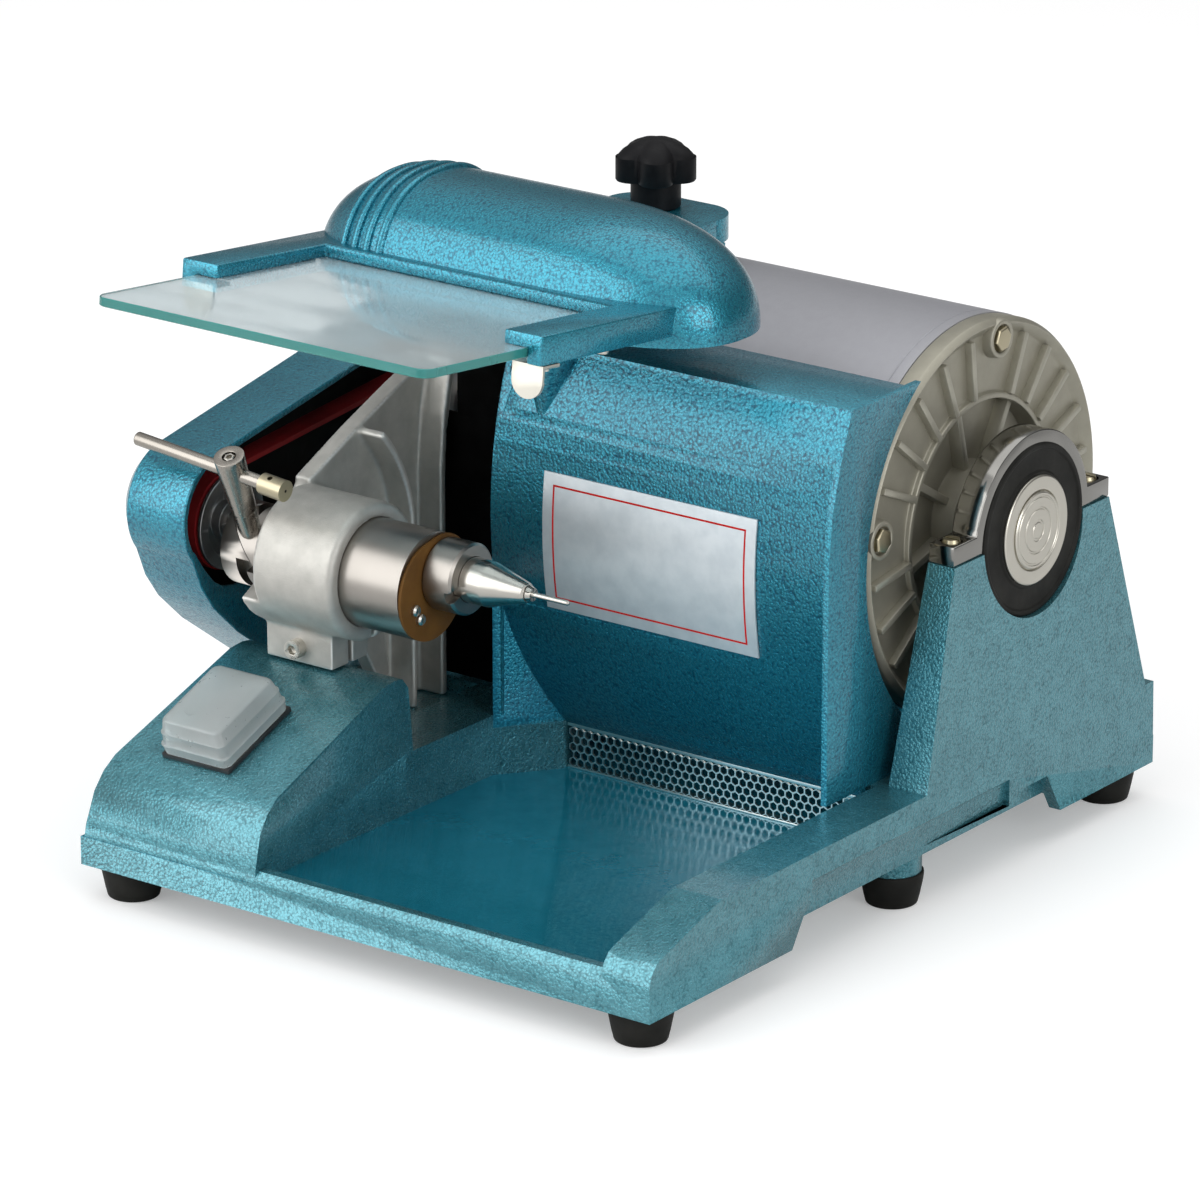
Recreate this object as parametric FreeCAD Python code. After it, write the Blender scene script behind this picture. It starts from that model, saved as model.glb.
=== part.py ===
import FreeCAD, Part
import math
import os

V = FreeCAD.Vector

# Base casting. Work frame: X from the left side, Y from the front edge, Z from the floor.
BASE_W = 305.0
BASE_D = 383.0
BASE_Z = 15.0
LIP_Z = 33.5
TRAY_Z = 28.0
RAIL_Z = 54.0
RAIL_X = 280.5
LEDGE_Z = 56.0
PED_X = 97.0
WELL_Y = 195.0
DIAG_X = 118.0
DIAG_Y = 166.0
SKIN = 6.0

# Motor and its two saddles
MOT_Y = 291.0
MOT_Z = 149.0
MOT_R = 89.5
SHELL_X0 = 94.0
SHELL_X1 = 262.0
SHIELD_T = 11.0
RING_R = 38.8
RING_T = 14.0
HUB_R = 24.6
MEDAL_R = 17.2
STRAP_T = 5.6
SADDLE_Z = 148.0
POST_XR = 285.0
POST_XL = 52.0
POST_WL = 18.0
BOLT_ANGLE = 82.0
BOLT_PCR = 80.0

# Spindle head
QUILL_Y = 103.0
QUILL_Z = 137.0
QUILL_R = 24.2
ECC_Y = 6.2
ECC_Z = 4.9
SP_Y = QUILL_Y + ECC_Y
SP_Z = QUILL_Z + ECC_Z
CLAMP_R = 31.0
CLAMP_X0 = 38.8
CLAMP_X1 = 81.8
QUILL_X1 = 113.4
CAM_X0 = 11.3
CAM_R = 18.6
NECK_R = 14.0
HELIX = 14.8
SHAFT_R = 5.0
TAIL_R = 4.0
RUN = 0.03
PIN_R = 1.175
SHANK_R = 1.5
SLIP = 0.3

# Spindle bracket: web, rib and pillar that stand in a pocket of the base
WEB_X0 = 31.0
WEB_X1 = 40.0
RIB_X1 = 53.0
PILLAR_Y = 187.8
POCKET_Z = 49.0

# Belt drive
BELT_X0 = -17.0
BELT_W = 13.0
BELT_T = 2.5
SP_PULLEY_R = 20.0
MOT_PULLEY_R = 28.0
GUARD_WALL = 3.0
GUARD_X0 = -35.0
GUARD_X1 = 3.0
GUARD_NOSE = (98.0, 150.0, 28.0)
GUARD_TAIL_R = 62.0

# Power switch, on the sloped pedestal
SWITCH_W = 37.0
SWITCH_D = 46.5
COVER_H = 21.5
SWITCH_TILT = math.degrees(math.atan2(28.5, 74.0))
SWITCH_AT = (48.0, 42.8, 62.5 + 26.8 * 28.5 / 74.0)

# Hood, tilted front up about the rear line of its bracket
HOOD_TILT = 6.2
HOOD_Y0 = 60.0
HOOD_Z = 277.0
ARM_X0 = 13.5
ARM_X1 = 205.7
ARM_W = 19.5
ARM_T = 13.0
GLASS_T = 4.0
GLASS_OUT = 68.0
DOME_X0 = 4.0
DOME_X1 = 222.0
DOME_Y = 181.0
DOME_HALF = 45.0
DOME_H = 46.5
DOME_Z = 249.0
DOME_WALL = 3.0
PIVOT_X = 95.0
PIVOT_Y = 291.0
LUG_Z = 249.0
LUG_T = 11.0

BRACKET_BOLTS = ((21.5, 172.5), (21.5, 185.5))
TAB_SCREWS = (228.0, 252.0)
GUARD_SCREWS = ((106.0, 207.0, LEDGE_Z), (270.0, 206.0, RAIL_Z))
SCREEN_Z = 49.6
FOOT_H = 15.0
GLAND_REACH = 12.0
GLASS_FRONT = -8.7
ORIGIN = V((GUARD_X0 + BASE_W) / 2, (GLASS_FRONT + BASE_D + GLAND_REACH) / 2, 0.0)


def box(x0, y0, z0, x1, y1, z1):
    return Part.makeBox(x1 - x0, y1 - y0, z1 - z0, V(x0, y0, z0))


def rod_x(x0, x1, r, y, z):
    return Part.makeCylinder(r, x1 - x0, V(x0, y, z), V(1, 0, 0))


def rod_y(y0, y1, r, x, z):
    return Part.makeCylinder(r, y1 - y0, V(x, y0, z), V(0, 1, 0))


def rod_z(z0, z1, r, x, y):
    return Part.makeCylinder(r, z1 - z0, V(x, y, z0), V(0, 0, 1))


def cone_x(x0, x1, r0, r1, y, z):
    return Part.makeCone(r0, r1, x1 - x0, V(x0, y, z), V(1, 0, 0))


def tube_x(x0, x1, r, hole, y, z):
    return rod_x(x0, x1, r, y, z).cut(rod_x(x0 - 1, x1 + 1, hole, y, z))


def prism_x(points, x0, x1):
    ring = [V(x0, y, z) for y, z in points]
    return Part.Face(Part.makePolygon(ring + [ring[0]])).extrude(V(x1 - x0, 0, 0))


def prism_y(points, y0, y1):
    ring = [V(x, y0, z) for x, z in points]
    return Part.Face(Part.makePolygon(ring + [ring[0]])).extrude(V(0, y1 - y0, 0))


def prism_z(points, z0, z1):
    ring = [V(x, y, z0) for x, y in points]
    return Part.Face(Part.makePolygon(ring + [ring[0]])).extrude(V(0, 0, z1 - z0))


def join(first, *others):
    solid = first
    for other in others:
        solid = solid.fuse(other)
    return solid.removeSplitter()


def hexagon(x0, x1, across, y, z, turn=0.0):
    r = across / math.sqrt(3.0)
    angles = [math.radians(turn + 60 * i) for i in range(6)]
    return prism_x([(y + r * math.cos(a), z + r * math.sin(a)) for a in angles], x0, x1)


def polar(r, degrees):
    a = math.radians(degrees)
    return MOT_Y + r * math.cos(a), MOT_Z + r * math.sin(a)


def turned(solid, degrees):
    copy = solid.copy()
    copy.rotate(V(0, MOT_Y, MOT_Z), V(1, 0, 0), degrees)
    return copy


def edges_at(solid, test):
    return [e for e in solid.Edges if test(e)]


def export(shape, name):
    moved = shape.copy()
    moved.translate(V(-ORIGIN.x, -ORIGIN.y, 0))
    moved.exportStep("parts/" + name + ".step")


def saddle_post(x0, x1, outer):
    profile = [(201, RAIL_Z - 2), (229.5, SADDLE_Z), (351, SADDLE_Z), (380, 36), (383, BASE_Z), (201, BASE_Z)]
    post = prism_x(profile, x0, x1)
    post = post.cut(rod_x(x0 - 1, x1 + 1, RING_R, MOT_Y, MOT_Z))
    if outer:
        wedge = prism_y([(x1, RAIL_Z), (x1 + 5, RAIL_Z), (x1 + 5, 170), (x1 - 7.6, 170)], 190, 390)
        post = post.cut(wedge)
    return post


def switch_pedestal():
    profile = [(0, BASE_Z), (0.5, 34), (4, 49), (9, 57), (16, 62.5), (90, 91), (98, 91.8), (103, 91), (107, 86), (110, 57), (110, BASE_Z)]
    body = prism_x(profile, 0, PED_X)
    lean = prism_y([(-1, BASE_Z), (0, BASE_Z), (12, 95), (-1, 95)], -1, 111)
    inner = [(SKIN, BASE_Z - 1), (SKIN, 34), (12, 48), (20, 56), (90, 83), (99, 83), (104, 56), (104, BASE_Z - 1)]
    body = body.cut(lean)
    return body.cut(prism_x(inner, 17, PED_X - SKIN))


def base_casting():
    outline = [(0, 0), (BASE_W, 0), (BASE_W, BASE_D), (0, BASE_D)]
    slab = prism_z(outline, BASE_Z, TRAY_Z)
    lip = prism_x([(0, BASE_Z), (0, LIP_Z - 3), (2.5, LIP_Z), (7, LIP_Z), (16, TRAY_Z), (16, BASE_Z)], PED_X - 5, RAIL_X + 5)
    rail_line = [(0, BASE_Z), (0, 31), (1.5, 36), (5, 40), (12, 42.5), (46, 53), (51, RAIL_Z), (BASE_D - 1, RAIL_Z), (BASE_D, BASE_Z)]
    rail = prism_x(rail_line, RAIL_X, BASE_W)
    ledge = prism_z([(0, 105), (PED_X, 105), (98, DIAG_Y), (DIAG_X, WELL_Y - 4), (DIAG_X, WELL_Y), (98, WELL_Y), (98, BASE_D), (0, BASE_D)], BASE_Z, LEDGE_Z)
    corner = prism_z([(98, DIAG_Y), (DIAG_X, WELL_Y - 4), (DIAG_X, WELL_Y + 2), (98, WELL_Y + 2)], BASE_Z, 50)
    ledge = ledge.cut(prism_z([(98, DIAG_Y - 1), (DIAG_X + 1, DIAG_Y - 1), (DIAG_X + 1, WELL_Y + 1), (98, WELL_Y + 1)], 50, 60))
    rear = box(90, BASE_D - 9, BASE_Z, RAIL_X + 5, BASE_D, 50)
    sill = box(DIAG_X - 2, WELL_Y, TRAY_Z, RAIL_X + 1, WELL_Y + 3, TRAY_Z + 1.2)
    body = join(slab, lip, rail, ledge, corner, rear, sill, switch_pedestal())
    body = join(body, saddle_post(POST_XR, BASE_W, True), saddle_post(POST_XL, POST_XL + POST_WL, False))
    body = join(body, box(90, 198, BASE_Z, 114, 216, LEDGE_Z), box(264, 198, BASE_Z, RAIL_X + 1, 214, RAIL_Z))
    body = body.cut(box(SKIN, SKIN, BASE_Z - 1, BASE_W - SKIN, BASE_D - SKIN, TRAY_Z - 5))
    body = body.cut(box(SKIN, 110, BASE_Z - 1, 46, BASE_D - SKIN, LEDGE_Z - 5))
    body = join(body, box(0, 106, BASE_Z, PED_X, 112, LEDGE_Z))
    body = body.cut(box(17, 99, BASE_Z - 1, PED_X - SKIN, 120, TRAY_Z - 5))
    for x, y in foot_spots():
        body = join(body, rod_z(BASE_Z, LEDGE_Z - 4 if x < 50 and y > 110 else TRAY_Z - 3, 13, x, y))
    for x, y in foot_spots():
        body = body.cut(rod_z(BASE_Z - 1, BASE_Z + 9, 2.6, x, y))
    arch = [(101, BASE_Z - 1), (111, 29.5), (268, 29.5), (278, 34.5), (296, 34.5), (308, BASE_Z - 1)]
    body = body.cut(prism_x(arch, BASE_W - SKIN - 1, BASE_W + 1))
    body = body.cut(prism_x(arch, -1, SKIN + 1))
    grip = prism_y([(BASE_W + 1, 28), (BASE_W - 3, 29), (BASE_W - 2, 40), (BASE_W + 1, 43)], 116, 266)
    body = body.cut(grip)
    body = body.cut(rocker_hole())
    body = join(body, box(SKIN - 1, 144, POCKET_Z - 7, 70, 197, POCKET_Z + 3))
    body = body.cut(box(10, 146, POCKET_Z, 68, 194.5, LEDGE_Z + 1))
    for x, y in BRACKET_BOLTS:
        body = body.cut(rod_z(POCKET_Z - 6, POCKET_Z + 1, 2.6, x, y))
    for y in TAB_SCREWS:
        body = body.cut(rod_z(LEDGE_Z - 12, LEDGE_Z + 1, 2.1, 10, y))
    for x, y, z in GUARD_SCREWS:
        body = body.cut(rod_z(z - 12, z + 1, 2.1, x, y))
    for x in [(x0 + x1 - 1) / 2 for x0, x1 in ring_centres()]:
        for y in (MOT_Y - 53.5, MOT_Y + 53.5):
            body = body.cut(rod_z(SADDLE_Z - 16, SADDLE_Z + 1, 2.6, x, y))
    body = body.cut(rod_y(BASE_D - 12, BASE_D + 1, 6.2, 150, 39))
    return body.removeSplitter()


def foot_spots():
    return [(16, 16), (BASE_W - 16, 16), (BASE_W - 20, 205), (20, 205), (BASE_W - 16, BASE_D - 16), (16, BASE_D - 16)]


def rubber_feet():
    feet = []
    for x, y in foot_spots():
        foot = Part.makeCone(11.3, 14.0, FOOT_H, V(x, y, 0), V(0, 0, 1))
        foot = foot.cut(rod_z(-1, 6, 5.5, x, y)).cut(rod_z(0, FOOT_H + 1, 2.7, x, y))
        feet.append(foot)
    return Part.makeCompound(feet)


def foot_screws():
    return Part.makeCompound([join(rod_z(2.5, 6, 4.5, x, y), rod_z(5, BASE_Z + 8, 2.55, x, y)) for x, y in foot_spots()])


def tray_screen():
    pitch = 4.6
    plate = box(DIAG_X + 0.3, WELL_Y - 1.5, TRAY_Z, RAIL_X, WELL_Y, SCREEN_Z)
    cells = []
    rows = 4
    for row in range(rows):
        z = TRAY_Z + 3.9 + row * pitch
        shift = pitch / 2 if row % 2 else 0.0
        x = DIAG_X + 4.5 + shift
        while x < RAIL_X - 3:
            r = 1.95
            ring = [(x + r * math.cos(math.radians(30 + 60 * i)), z + r * math.sin(math.radians(30 + 60 * i))) for i in range(6)]
            cells.append(prism_y(ring, WELL_Y - 3, WELL_Y + 1))
            x += pitch
    return plate.cut(Part.makeCompound(cells))


def tilt_switch(solid):
    solid.rotate(V(0, 0, 0), V(1, 0, 0), SWITCH_TILT)
    solid.translate(V(*SWITCH_AT))
    return solid


def rocker_hole():
    return tilt_switch(box(-14, -12.5, -22, 14, 12.5, 5))


def switch_bezel():
    rim = box(-SWITCH_W / 2, -SWITCH_D / 2, 0, SWITCH_W / 2, SWITCH_D / 2, 2.5)
    rim = rim.fuse(box(-13.9, -12.4, -18, 13.9, 12.4, 0.5))
    rim = rim.cut(box(-11.5, -10, -15, 11.5, 10, 6))
    rim = join(rim, rod_x(-12.4, -10.6, 1.6, 0, -3), rod_x(10.6, 12.4, 1.6, 0, -3))
    return tilt_switch(rim)


def switch_rocker():
    profile = [(-9, -2.5), (-9, 4.6), (-0.5, 2.9), (0.5, 2.9), (9, 5.9), (9, -2.5), (3, -7), (-3, -7)]
    rocker = prism_x(profile, -10.4, 10.4)
    rocker = rocker.cut(rod_x(-11, 11, 1.68, 0, -3))
    return tilt_switch(rocker)


def switch_cover():
    def layer(inset, z0, z1, drop):
        w = SWITCH_W / 2 - 0.5 - inset
        d = SWITCH_D / 2 - 0.5 - inset
        base = box(-w, -d, z0, w, d, z0 + 1)
        rings = []
        for size, z in ((1.0, z0), (drop, z1)):
            rings.append(Part.makePolygon([V(x * size, y * size, z) for x, y in ((-w, -d), (w, -d), (w, d), (-w, d), (-w, -d))]))
        solid = Part.makeLoft(rings, True, True)
        upright = edges_at(solid, lambda e: e.BoundBox.ZLength > 0.5)
        return solid.makeFillet(min(3.5, base.BoundBox.XLength / 8), upright)
    outer = layer(0, 2.5, COVER_H - 1.5, 0.87)
    crown = Part.makeSphere(90, V(0, 0, COVER_H + 0.3 - 90)).common(layer(0, 2.5, COVER_H + 3, 0.855))
    outer = join(outer, crown, layer(-0.9, 6.4, 7.8, 1.0), layer(0.2, 12.4, 13.4, 1.0))
    inner = layer(1.3, 2.4, COVER_H - 2.8, 0.88)
    return tilt_switch(outer.cut(inner))


def motor_guard():
    cy = 360.0
    sheet = 3.0
    front = rod_x(98, 278, 195, cy, MOT_Z + 1).cut(rod_x(97, 279, 195 - sheet, cy, MOT_Z + 1))
    front = front.common(box(97, 160, SCREEN_Z, 279, 200, 227.5))
    chamfer = prism_z([(90, 150), (98, DIAG_Y), (DIAG_X + 6.3, 200), (90, 200)], 40, 240)
    front = front.cut(chamfer)
    slant = prism_z([(98, DIAG_Y), (DIAG_X + 3, 198.5), (DIAG_X + 3, 202.5), (98, DIAG_Y + 5)], 50, 227.5)
    cheek = slant.common(box(90, 150, 50, 140, 210, MOT_Z + 1)).cut(rod_x(97, 279, 195 - sheet, cy, MOT_Z + 1))
    slant = join(slant.common(rod_x(97, 279, 195, cy, MOT_Z + 1)), cheek)
    roof = box(98, 181, 224.5, 278, 224, 227.5).cut(chamfer.cut(box(80, 140, 30, 300, 181, 250)))
    roof = join(roof, prism_z([(98, 170), (101, 170), (124, 200), (124, 224), (98, 224)], 224.5, 227.5).common(rod_x(97, 279, 195, cy, MOT_Z + 1)))
    left = box(98, 168, LEDGE_Z, 101, 224, 227.5).common(rod_x(97, 279, 195, cy, MOT_Z + 1))
    left = join(left, box(98, 169, LEDGE_Z, 101, 200, MOT_Z))
    right = prism_x([(164.8, RAIL_Z), (164.8, 160), (167, 184), (173, 206), (181.2, 227.5), (240, 227.5), (240, RAIL_Z)], 275, 278)
    gap = rod_x(90, 290, MOT_R + 8.5, MOT_Y, MOT_Z)
    guard = join(front, slant, roof, left, right).cut(gap)
    guard = join(guard, box(262, 188, RAIL_Z, 278, 214, RAIL_Z + 3), box(98, 196, LEDGE_Z, 113, 215, LEDGE_Z + 3))
    boss = Part.makeCone(0.6, 13, 36, V(121, 173, 190), V(0, 0.15, 1)).common(box(90, 150, 185, 150, 190, 224.5))
    guard = join(guard, boss.cut(rod_x(80, 290, 194, cy, MOT_Z + 1)))
    for x, y, z in GUARD_SCREWS:
        guard = guard.cut(rod_z(z - 1, z + 4, 2.2, x, y))
    return guard


def guard_screws():
    screws = [join(rod_z(z + 3, z + 5.5, 3.8, x, y), rod_z(z - 10, z + 4, 2.05, x, y)) for x, y, z in GUARD_SCREWS]
    return Part.makeCompound(screws)


def guard_plate():
    tube = rod_x(127, 240, 196.0, 360, MOT_Z + 1).cut(rod_x(126, 241, 195.1, 360, MOT_Z + 1))
    return tube.common(box(126, 160, 112.5, 241, 175, 175.5))


def motor_shell():
    shell = tube_x(SHELL_X0, SHELL_X1, MOT_R, MOT_R - 5, MOT_Y, MOT_Z)
    return shell


def shield_body():
    disc = rod_x(0, SHIELD_T, MOT_R - 0.3, MOT_Y, MOT_Z)
    disc = join(disc, rod_x(-4, 0.5, MOT_R - 5.1, MOT_Y, MOT_Z))
    disc = disc.cut(cone_x(SHIELD_T - 4.5, SHIELD_T + 0.5, 82.5, 87.2, MOT_Y, MOT_Z))
    face = SHIELD_T - 4.5
    disc = disc.cut(rod_x(-3, face + 1, 53, MOT_Y, MOT_Z))
    disc = join(disc, tube_x(-3, face + 2.5, 56, 53, MOT_Y, MOT_Z), rod_x(-4, -1, 54, MOT_Y, MOT_Z))
    disc = join(disc, rod_x(-4, 10, 24, MOT_Y, MOT_Z))
    rib = box(face - 1, MOT_Y + 56, MOT_Z - 1.5, face + 4, MOT_Y + 83.5, MOT_Z + 1.5)
    web = box(-2, MOT_Y + 20, MOT_Z - 1.8, face - 1, MOT_Y + 54, MOT_Z + 1.8)
    boss = rod_x(face - 1, face + 5, 9.5, MOT_Y + BOLT_PCR - 1, MOT_Z).common(rod_x(0, 30, MOT_R - 0.4, MOT_Y, MOT_Z))
    extras = []
    for i in range(24):
        angle = BOLT_ANGLE + 15 * i
        extras.append(turned(boss if i % 6 == 0 else rib, angle))
    for i in range(8):
        extras.append(turned(web, BOLT_ANGLE + 22.5 + 45 * i))
    disc = disc.multiFuse(extras)
    for i in range(4):
        disc = disc.cut(turned(rod_x(-5, 30, 3.1, MOT_Y + BOLT_PCR, MOT_Z), BOLT_ANGLE + 90 * i))
        disc = disc.cut(turned(rod_x(face + 2, 30, 6.8, MOT_Y + BOLT_PCR, MOT_Z), BOLT_ANGLE + 90 * i))
    return disc.removeSplitter()


def mirror_x(solid, x):
    return solid.mirror(V(x, 0, 0), V(1, 0, 0))


def end_shield(right):
    shield = shield_body()
    end = SHELL_X1 if right else SHELL_X0
    reach = POST_XR + RING_T - SHELL_X1 if right else SHELL_X0 - POST_XL - 1
    sleeve = rod_x(9, reach, 21, MOT_Y, MOT_Z)
    shield = join(shield, sleeve)
    shield = shield.cut(rod_x(-5, 3, 17.55, MOT_Y, MOT_Z)).cut(rod_x(-6, 50, 9, MOT_Y, MOT_Z))
    if right:
        shield.translate(V(end, 0, 0))
        return shield
    shield = mirror_x(shield, 0)
    shield.translate(V(end, 0, 0))
    return shield


def shield_bolts():
    bolts = []
    for i in range(4):
        face = SHIELD_T - 4.5 + 2
        bolt = join(hexagon(face, face + 4, 10, MOT_Y + BOLT_PCR, MOT_Z), rod_x(-3, face + 1, 3.05, MOT_Y + BOLT_PCR, MOT_Z))
        bolt = turned(bolt, BOLT_ANGLE + 90 * i)
        right = bolt.copy()
        right.translate(V(SHELL_X1, 0, 0))
        left = mirror_x(bolt, 0)
        left.translate(V(SHELL_X0, 0, 0))
        bolts += [right, left]
    return Part.makeCompound(bolts)


def ring_centres():
    return [(POST_XR, POST_XR + RING_T), (POST_XL + 1, POST_XL + 1 + RING_T)]


def rubber_rings():
    rings = []
    for x0, x1 in ring_centres():
        ring = tube_x(x0, x1, RING_R, 21.0, MOT_Y, MOT_Z)
        rings.append(ring)
    return Part.makeCompound(rings)


def hub_discs():
    right = rod_x(POST_XR + RING_T, POST_XR + RING_T + 1.4, HUB_R, MOT_Y, MOT_Z)
    right = right.cut(rod_x(POST_XR + RING_T + 0.4, POST_XR + 20, MEDAL_R + 0.4, MOT_Y, MOT_Z))
    left = tube_x(POST_XL - 0.4, POST_XL + 1, HUB_R, 9, MOT_Y, MOT_Z)
    return Part.makeCompound([right, left])


def medallion():
    x = POST_XR + RING_T + 0.4
    disc = rod_x(x, x + 1.6, MEDAL_R, MOT_Y, MOT_Z)
    for r in (15.6, 10.4, 4.4):
        disc = disc.cut(tube_x(x + 1.2, x + 3, r, r - 0.6, MOT_Y, MOT_Z))
    return disc


def saddle_straps():
    straps = []
    for x0, x1 in ring_centres():
        outer = RING_R + STRAP_T
        a, b = x0, x1 - 1
        band = rod_x(a, b, outer, MOT_Y, MOT_Z).common(box(a - 1, MOT_Y - 80, SADDLE_Z, b + 1, MOT_Y + 80, MOT_Z + 80))
        ears = box(a, MOT_Y - 61, SADDLE_Z, b, MOT_Y - 42, SADDLE_Z + 9)
        ears = ears.fuse(box(a, MOT_Y + 42, SADDLE_Z, b, MOT_Y + 61, SADDLE_Z + 9))
        strap = join(band, ears).cut(rod_x(a - 1, b + 1, RING_R, MOT_Y, MOT_Z))
        for y in (MOT_Y - 53.5, MOT_Y + 53.5):
            strap = strap.cut(rod_z(SADDLE_Z - 1, SADDLE_Z + 20, 2.8, (a + b) / 2, y))
            strap = strap.cut(rod_z(SADDLE_Z + 7, SADDLE_Z + 20, 5.0, (a + b) / 2, y))
        straps.append(strap)
    return Part.makeCompound(straps)


def strap_screws():
    screws = []
    for x0, x1 in ring_centres():
        x = (x0 + x1 - 1) / 2
        for y in (MOT_Y - 53.5, MOT_Y + 53.5):
            head = Part.makeCone(4.7, 3.6, 3.2, V(x, y, SADDLE_Z + 7), V(0, 0, 1))
            head = head.cut(box(x - 5, y - 0.6, SADDLE_Z + 9, x + 5, y + 0.6, SADDLE_Z + 12))
            screws.append(join(head, rod_z(SADDLE_Z - 10, SADDLE_Z + 7.5, 2.55, x, y)))
    return Part.makeCompound(screws)


def stator():
    core = tube_x(130, 226, MOT_R - 5, 46, MOT_Y, MOT_Z)
    coils = join(tube_x(112, 131, 76, 50, MOT_Y, MOT_Z), tube_x(225, 244, 76, 50, MOT_Y, MOT_Z))
    return join(core, coils)


def rotor_core():
    return tube_x(128, 228, 45.4, 10, MOT_Y, MOT_Z)


def motor_shaft():
    shaft = join(rod_x(BELT_X0 - 5, 128, 8.0, MOT_Y, MOT_Z), rod_x(110, 246, 10, MOT_Y, MOT_Z))
    return join(shaft, rod_x(240, 270, 8.0, MOT_Y, MOT_Z))


def motor_bearings():
    right = tube_x(SHELL_X1 - 8, SHELL_X1 + 3, 17.55, 8 + RUN, MOT_Y, MOT_Z)
    left = tube_x(SHELL_X0 - 3, SHELL_X0 + 8, 17.55, 8 + RUN, MOT_Y, MOT_Z)
    return Part.makeCompound([right, left])


def pulley(r, bore, y, z):
    x0 = BELT_X0
    x1 = BELT_X0 + BELT_W
    wheel = join(rod_x(x0, x1, r, y, z), rod_x(x0 - 2, x0, r + 2, y, z), rod_x(x1, x1 + 2, r + 2, y, z))
    return wheel.cut(rod_x(x0 - 5, x1 + 5, bore, y, z))


def motor_pulley():
    wheel = pulley(MOT_PULLEY_R, 8.0, MOT_Y, MOT_Z)
    rim = MOT_PULLEY_R - 4.5
    wheel = wheel.cut(tube_x(BELT_X0 - 3, BELT_X0 + 3, rim, 14, MOT_Y, MOT_Z))
    return wheel.cut(tube_x(BELT_X0 + BELT_W - 3, BELT_X0 + BELT_W + 3, rim, 14, MOT_Y, MOT_Z))


def spindle_pulley():
    wheel = pulley(SP_PULLEY_R, TAIL_R, SP_Y, SP_Z)
    rim = SP_PULLEY_R - 4.5
    return wheel.cut(tube_x(BELT_X0 + BELT_W - 3, BELT_X0 + BELT_W + 3, rim, 8, SP_Y, SP_Z))


def hull_of_circles(y0, z0, r0, y1, z1, r1, x0, x1):
    d = math.hypot(y1 - y0, z1 - z0)
    base = math.atan2(z1 - z0, y1 - y0)
    side = math.acos((r0 - r1) / d)
    ring = []
    for y, z, r, a in ((y0, z0, r0, base + side), (y1, z1, r1, base + side), (y1, z1, r1, base - side), (y0, z0, r0, base - side)):
        ring.append((y + r * math.cos(a), z + r * math.sin(a)))
    return join(rod_x(x0, x1, r0, y0, z0), rod_x(x0, x1, r1, y1, z1), prism_x(ring, x0, x1))


def drive_belt():
    x0 = BELT_X0 + 1.0
    x1 = BELT_X0 + BELT_W - 1.0
    gap = 0.3
    outer = hull_of_circles(SP_Y, SP_Z, SP_PULLEY_R + BELT_T, MOT_Y, MOT_Z, MOT_PULLEY_R + BELT_T, x0, x1)
    inner = hull_of_circles(SP_Y, SP_Z, SP_PULLEY_R + gap, MOT_Y, MOT_Z, MOT_PULLEY_R + gap, x0 - 1, x1 + 1)
    return outer.cut(inner)


def belt_guard_face(x, inset):
    y0, z0, r0 = GUARD_NOSE
    r0 -= inset
    r1 = GUARD_TAIL_R - inset
    lean = math.atan2(MOT_Z - z0, MOT_Y - y0)
    top = lean + math.acos((r0 - r1) / math.hypot(MOT_Y - y0, MOT_Z - z0))

    def nose(a):
        return V(x, y0 + r0 * math.cos(a), z0 + r0 * math.sin(a))

    def tail(a):
        return V(x, MOT_Y + r1 * math.cos(a), MOT_Z + r1 * math.sin(a))

    low = math.radians(218)
    end = math.radians(-50)
    foot = LEDGE_Z + 1 + inset
    corners = [nose(low), V(x, 81.5 + 0.88 * inset, 119 + 0.48 * inset), V(x, 90 + 0.78 * inset, 107 + 0.66 * inset)]
    corners += [V(x, 106 + 0.62 * inset, 92 + 0.83 * inset), V(x, 154 + 0.35 * inset, foot)]
    corners += [V(x, 292 - inset, foot), tail(end)]
    edges = [Part.Arc(nose(top), nose((top + low) / 2), nose(low)).toShape()]
    edges += [Part.makeLine(p, q) for p, q in zip(corners[:-1], corners[1:])]
    edges += [Part.Arc(tail(end), tail((top + end) / 2), tail(top)).toShape(), Part.makeLine(tail(top), nose(top))]
    return Part.Face(Part.Wire(edges))


def belt_guard():
    outer = belt_guard_face(GUARD_X0 + 6, 0).extrude(V(GUARD_X1 - GUARD_X0 - 6, 0, 0))
    slope = Part.makeLoft([belt_guard_face(GUARD_X0, 6).OuterWire, belt_guard_face(GUARD_X0 + 6, 0).OuterWire], True, True)
    room = belt_guard_face(GUARD_X0 + 7, GUARD_WALL).extrude(V(GUARD_X1 - GUARD_X0, 0, 0))
    slope_in = Part.makeLoft([belt_guard_face(GUARD_X0 + 3, 7).OuterWire, belt_guard_face(GUARD_X0 + 7, GUARD_WALL).OuterWire], True, True)
    body = join(outer, slope).cut(room).cut(slope_in)
    mouth = [(60, 50), (60, 138), (76.5, 138), (84, 127), (90.5, 119.7), (105, 114.3), (262, 114.3), (262, 106), (360, 106), (360, 50)]
    sill = belt_guard_face(GUARD_X1 - 2.5, 0).extrude(V(2.5, 0, 0)).common(prism_x(mouth, GUARD_X1 - 3, GUARD_X1 + 1))
    tab = box(GUARD_X1 - 2.5, TAB_SCREWS[0] - 10, LEDGE_Z, 17, TAB_SCREWS[1] + 10, LEDGE_Z + 3)
    body = join(body, sill, tab)
    for y in TAB_SCREWS:
        body = body.cut(rod_z(LEDGE_Z - 1, LEDGE_Z + 4, 2.2, 10, y))
    return body


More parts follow.
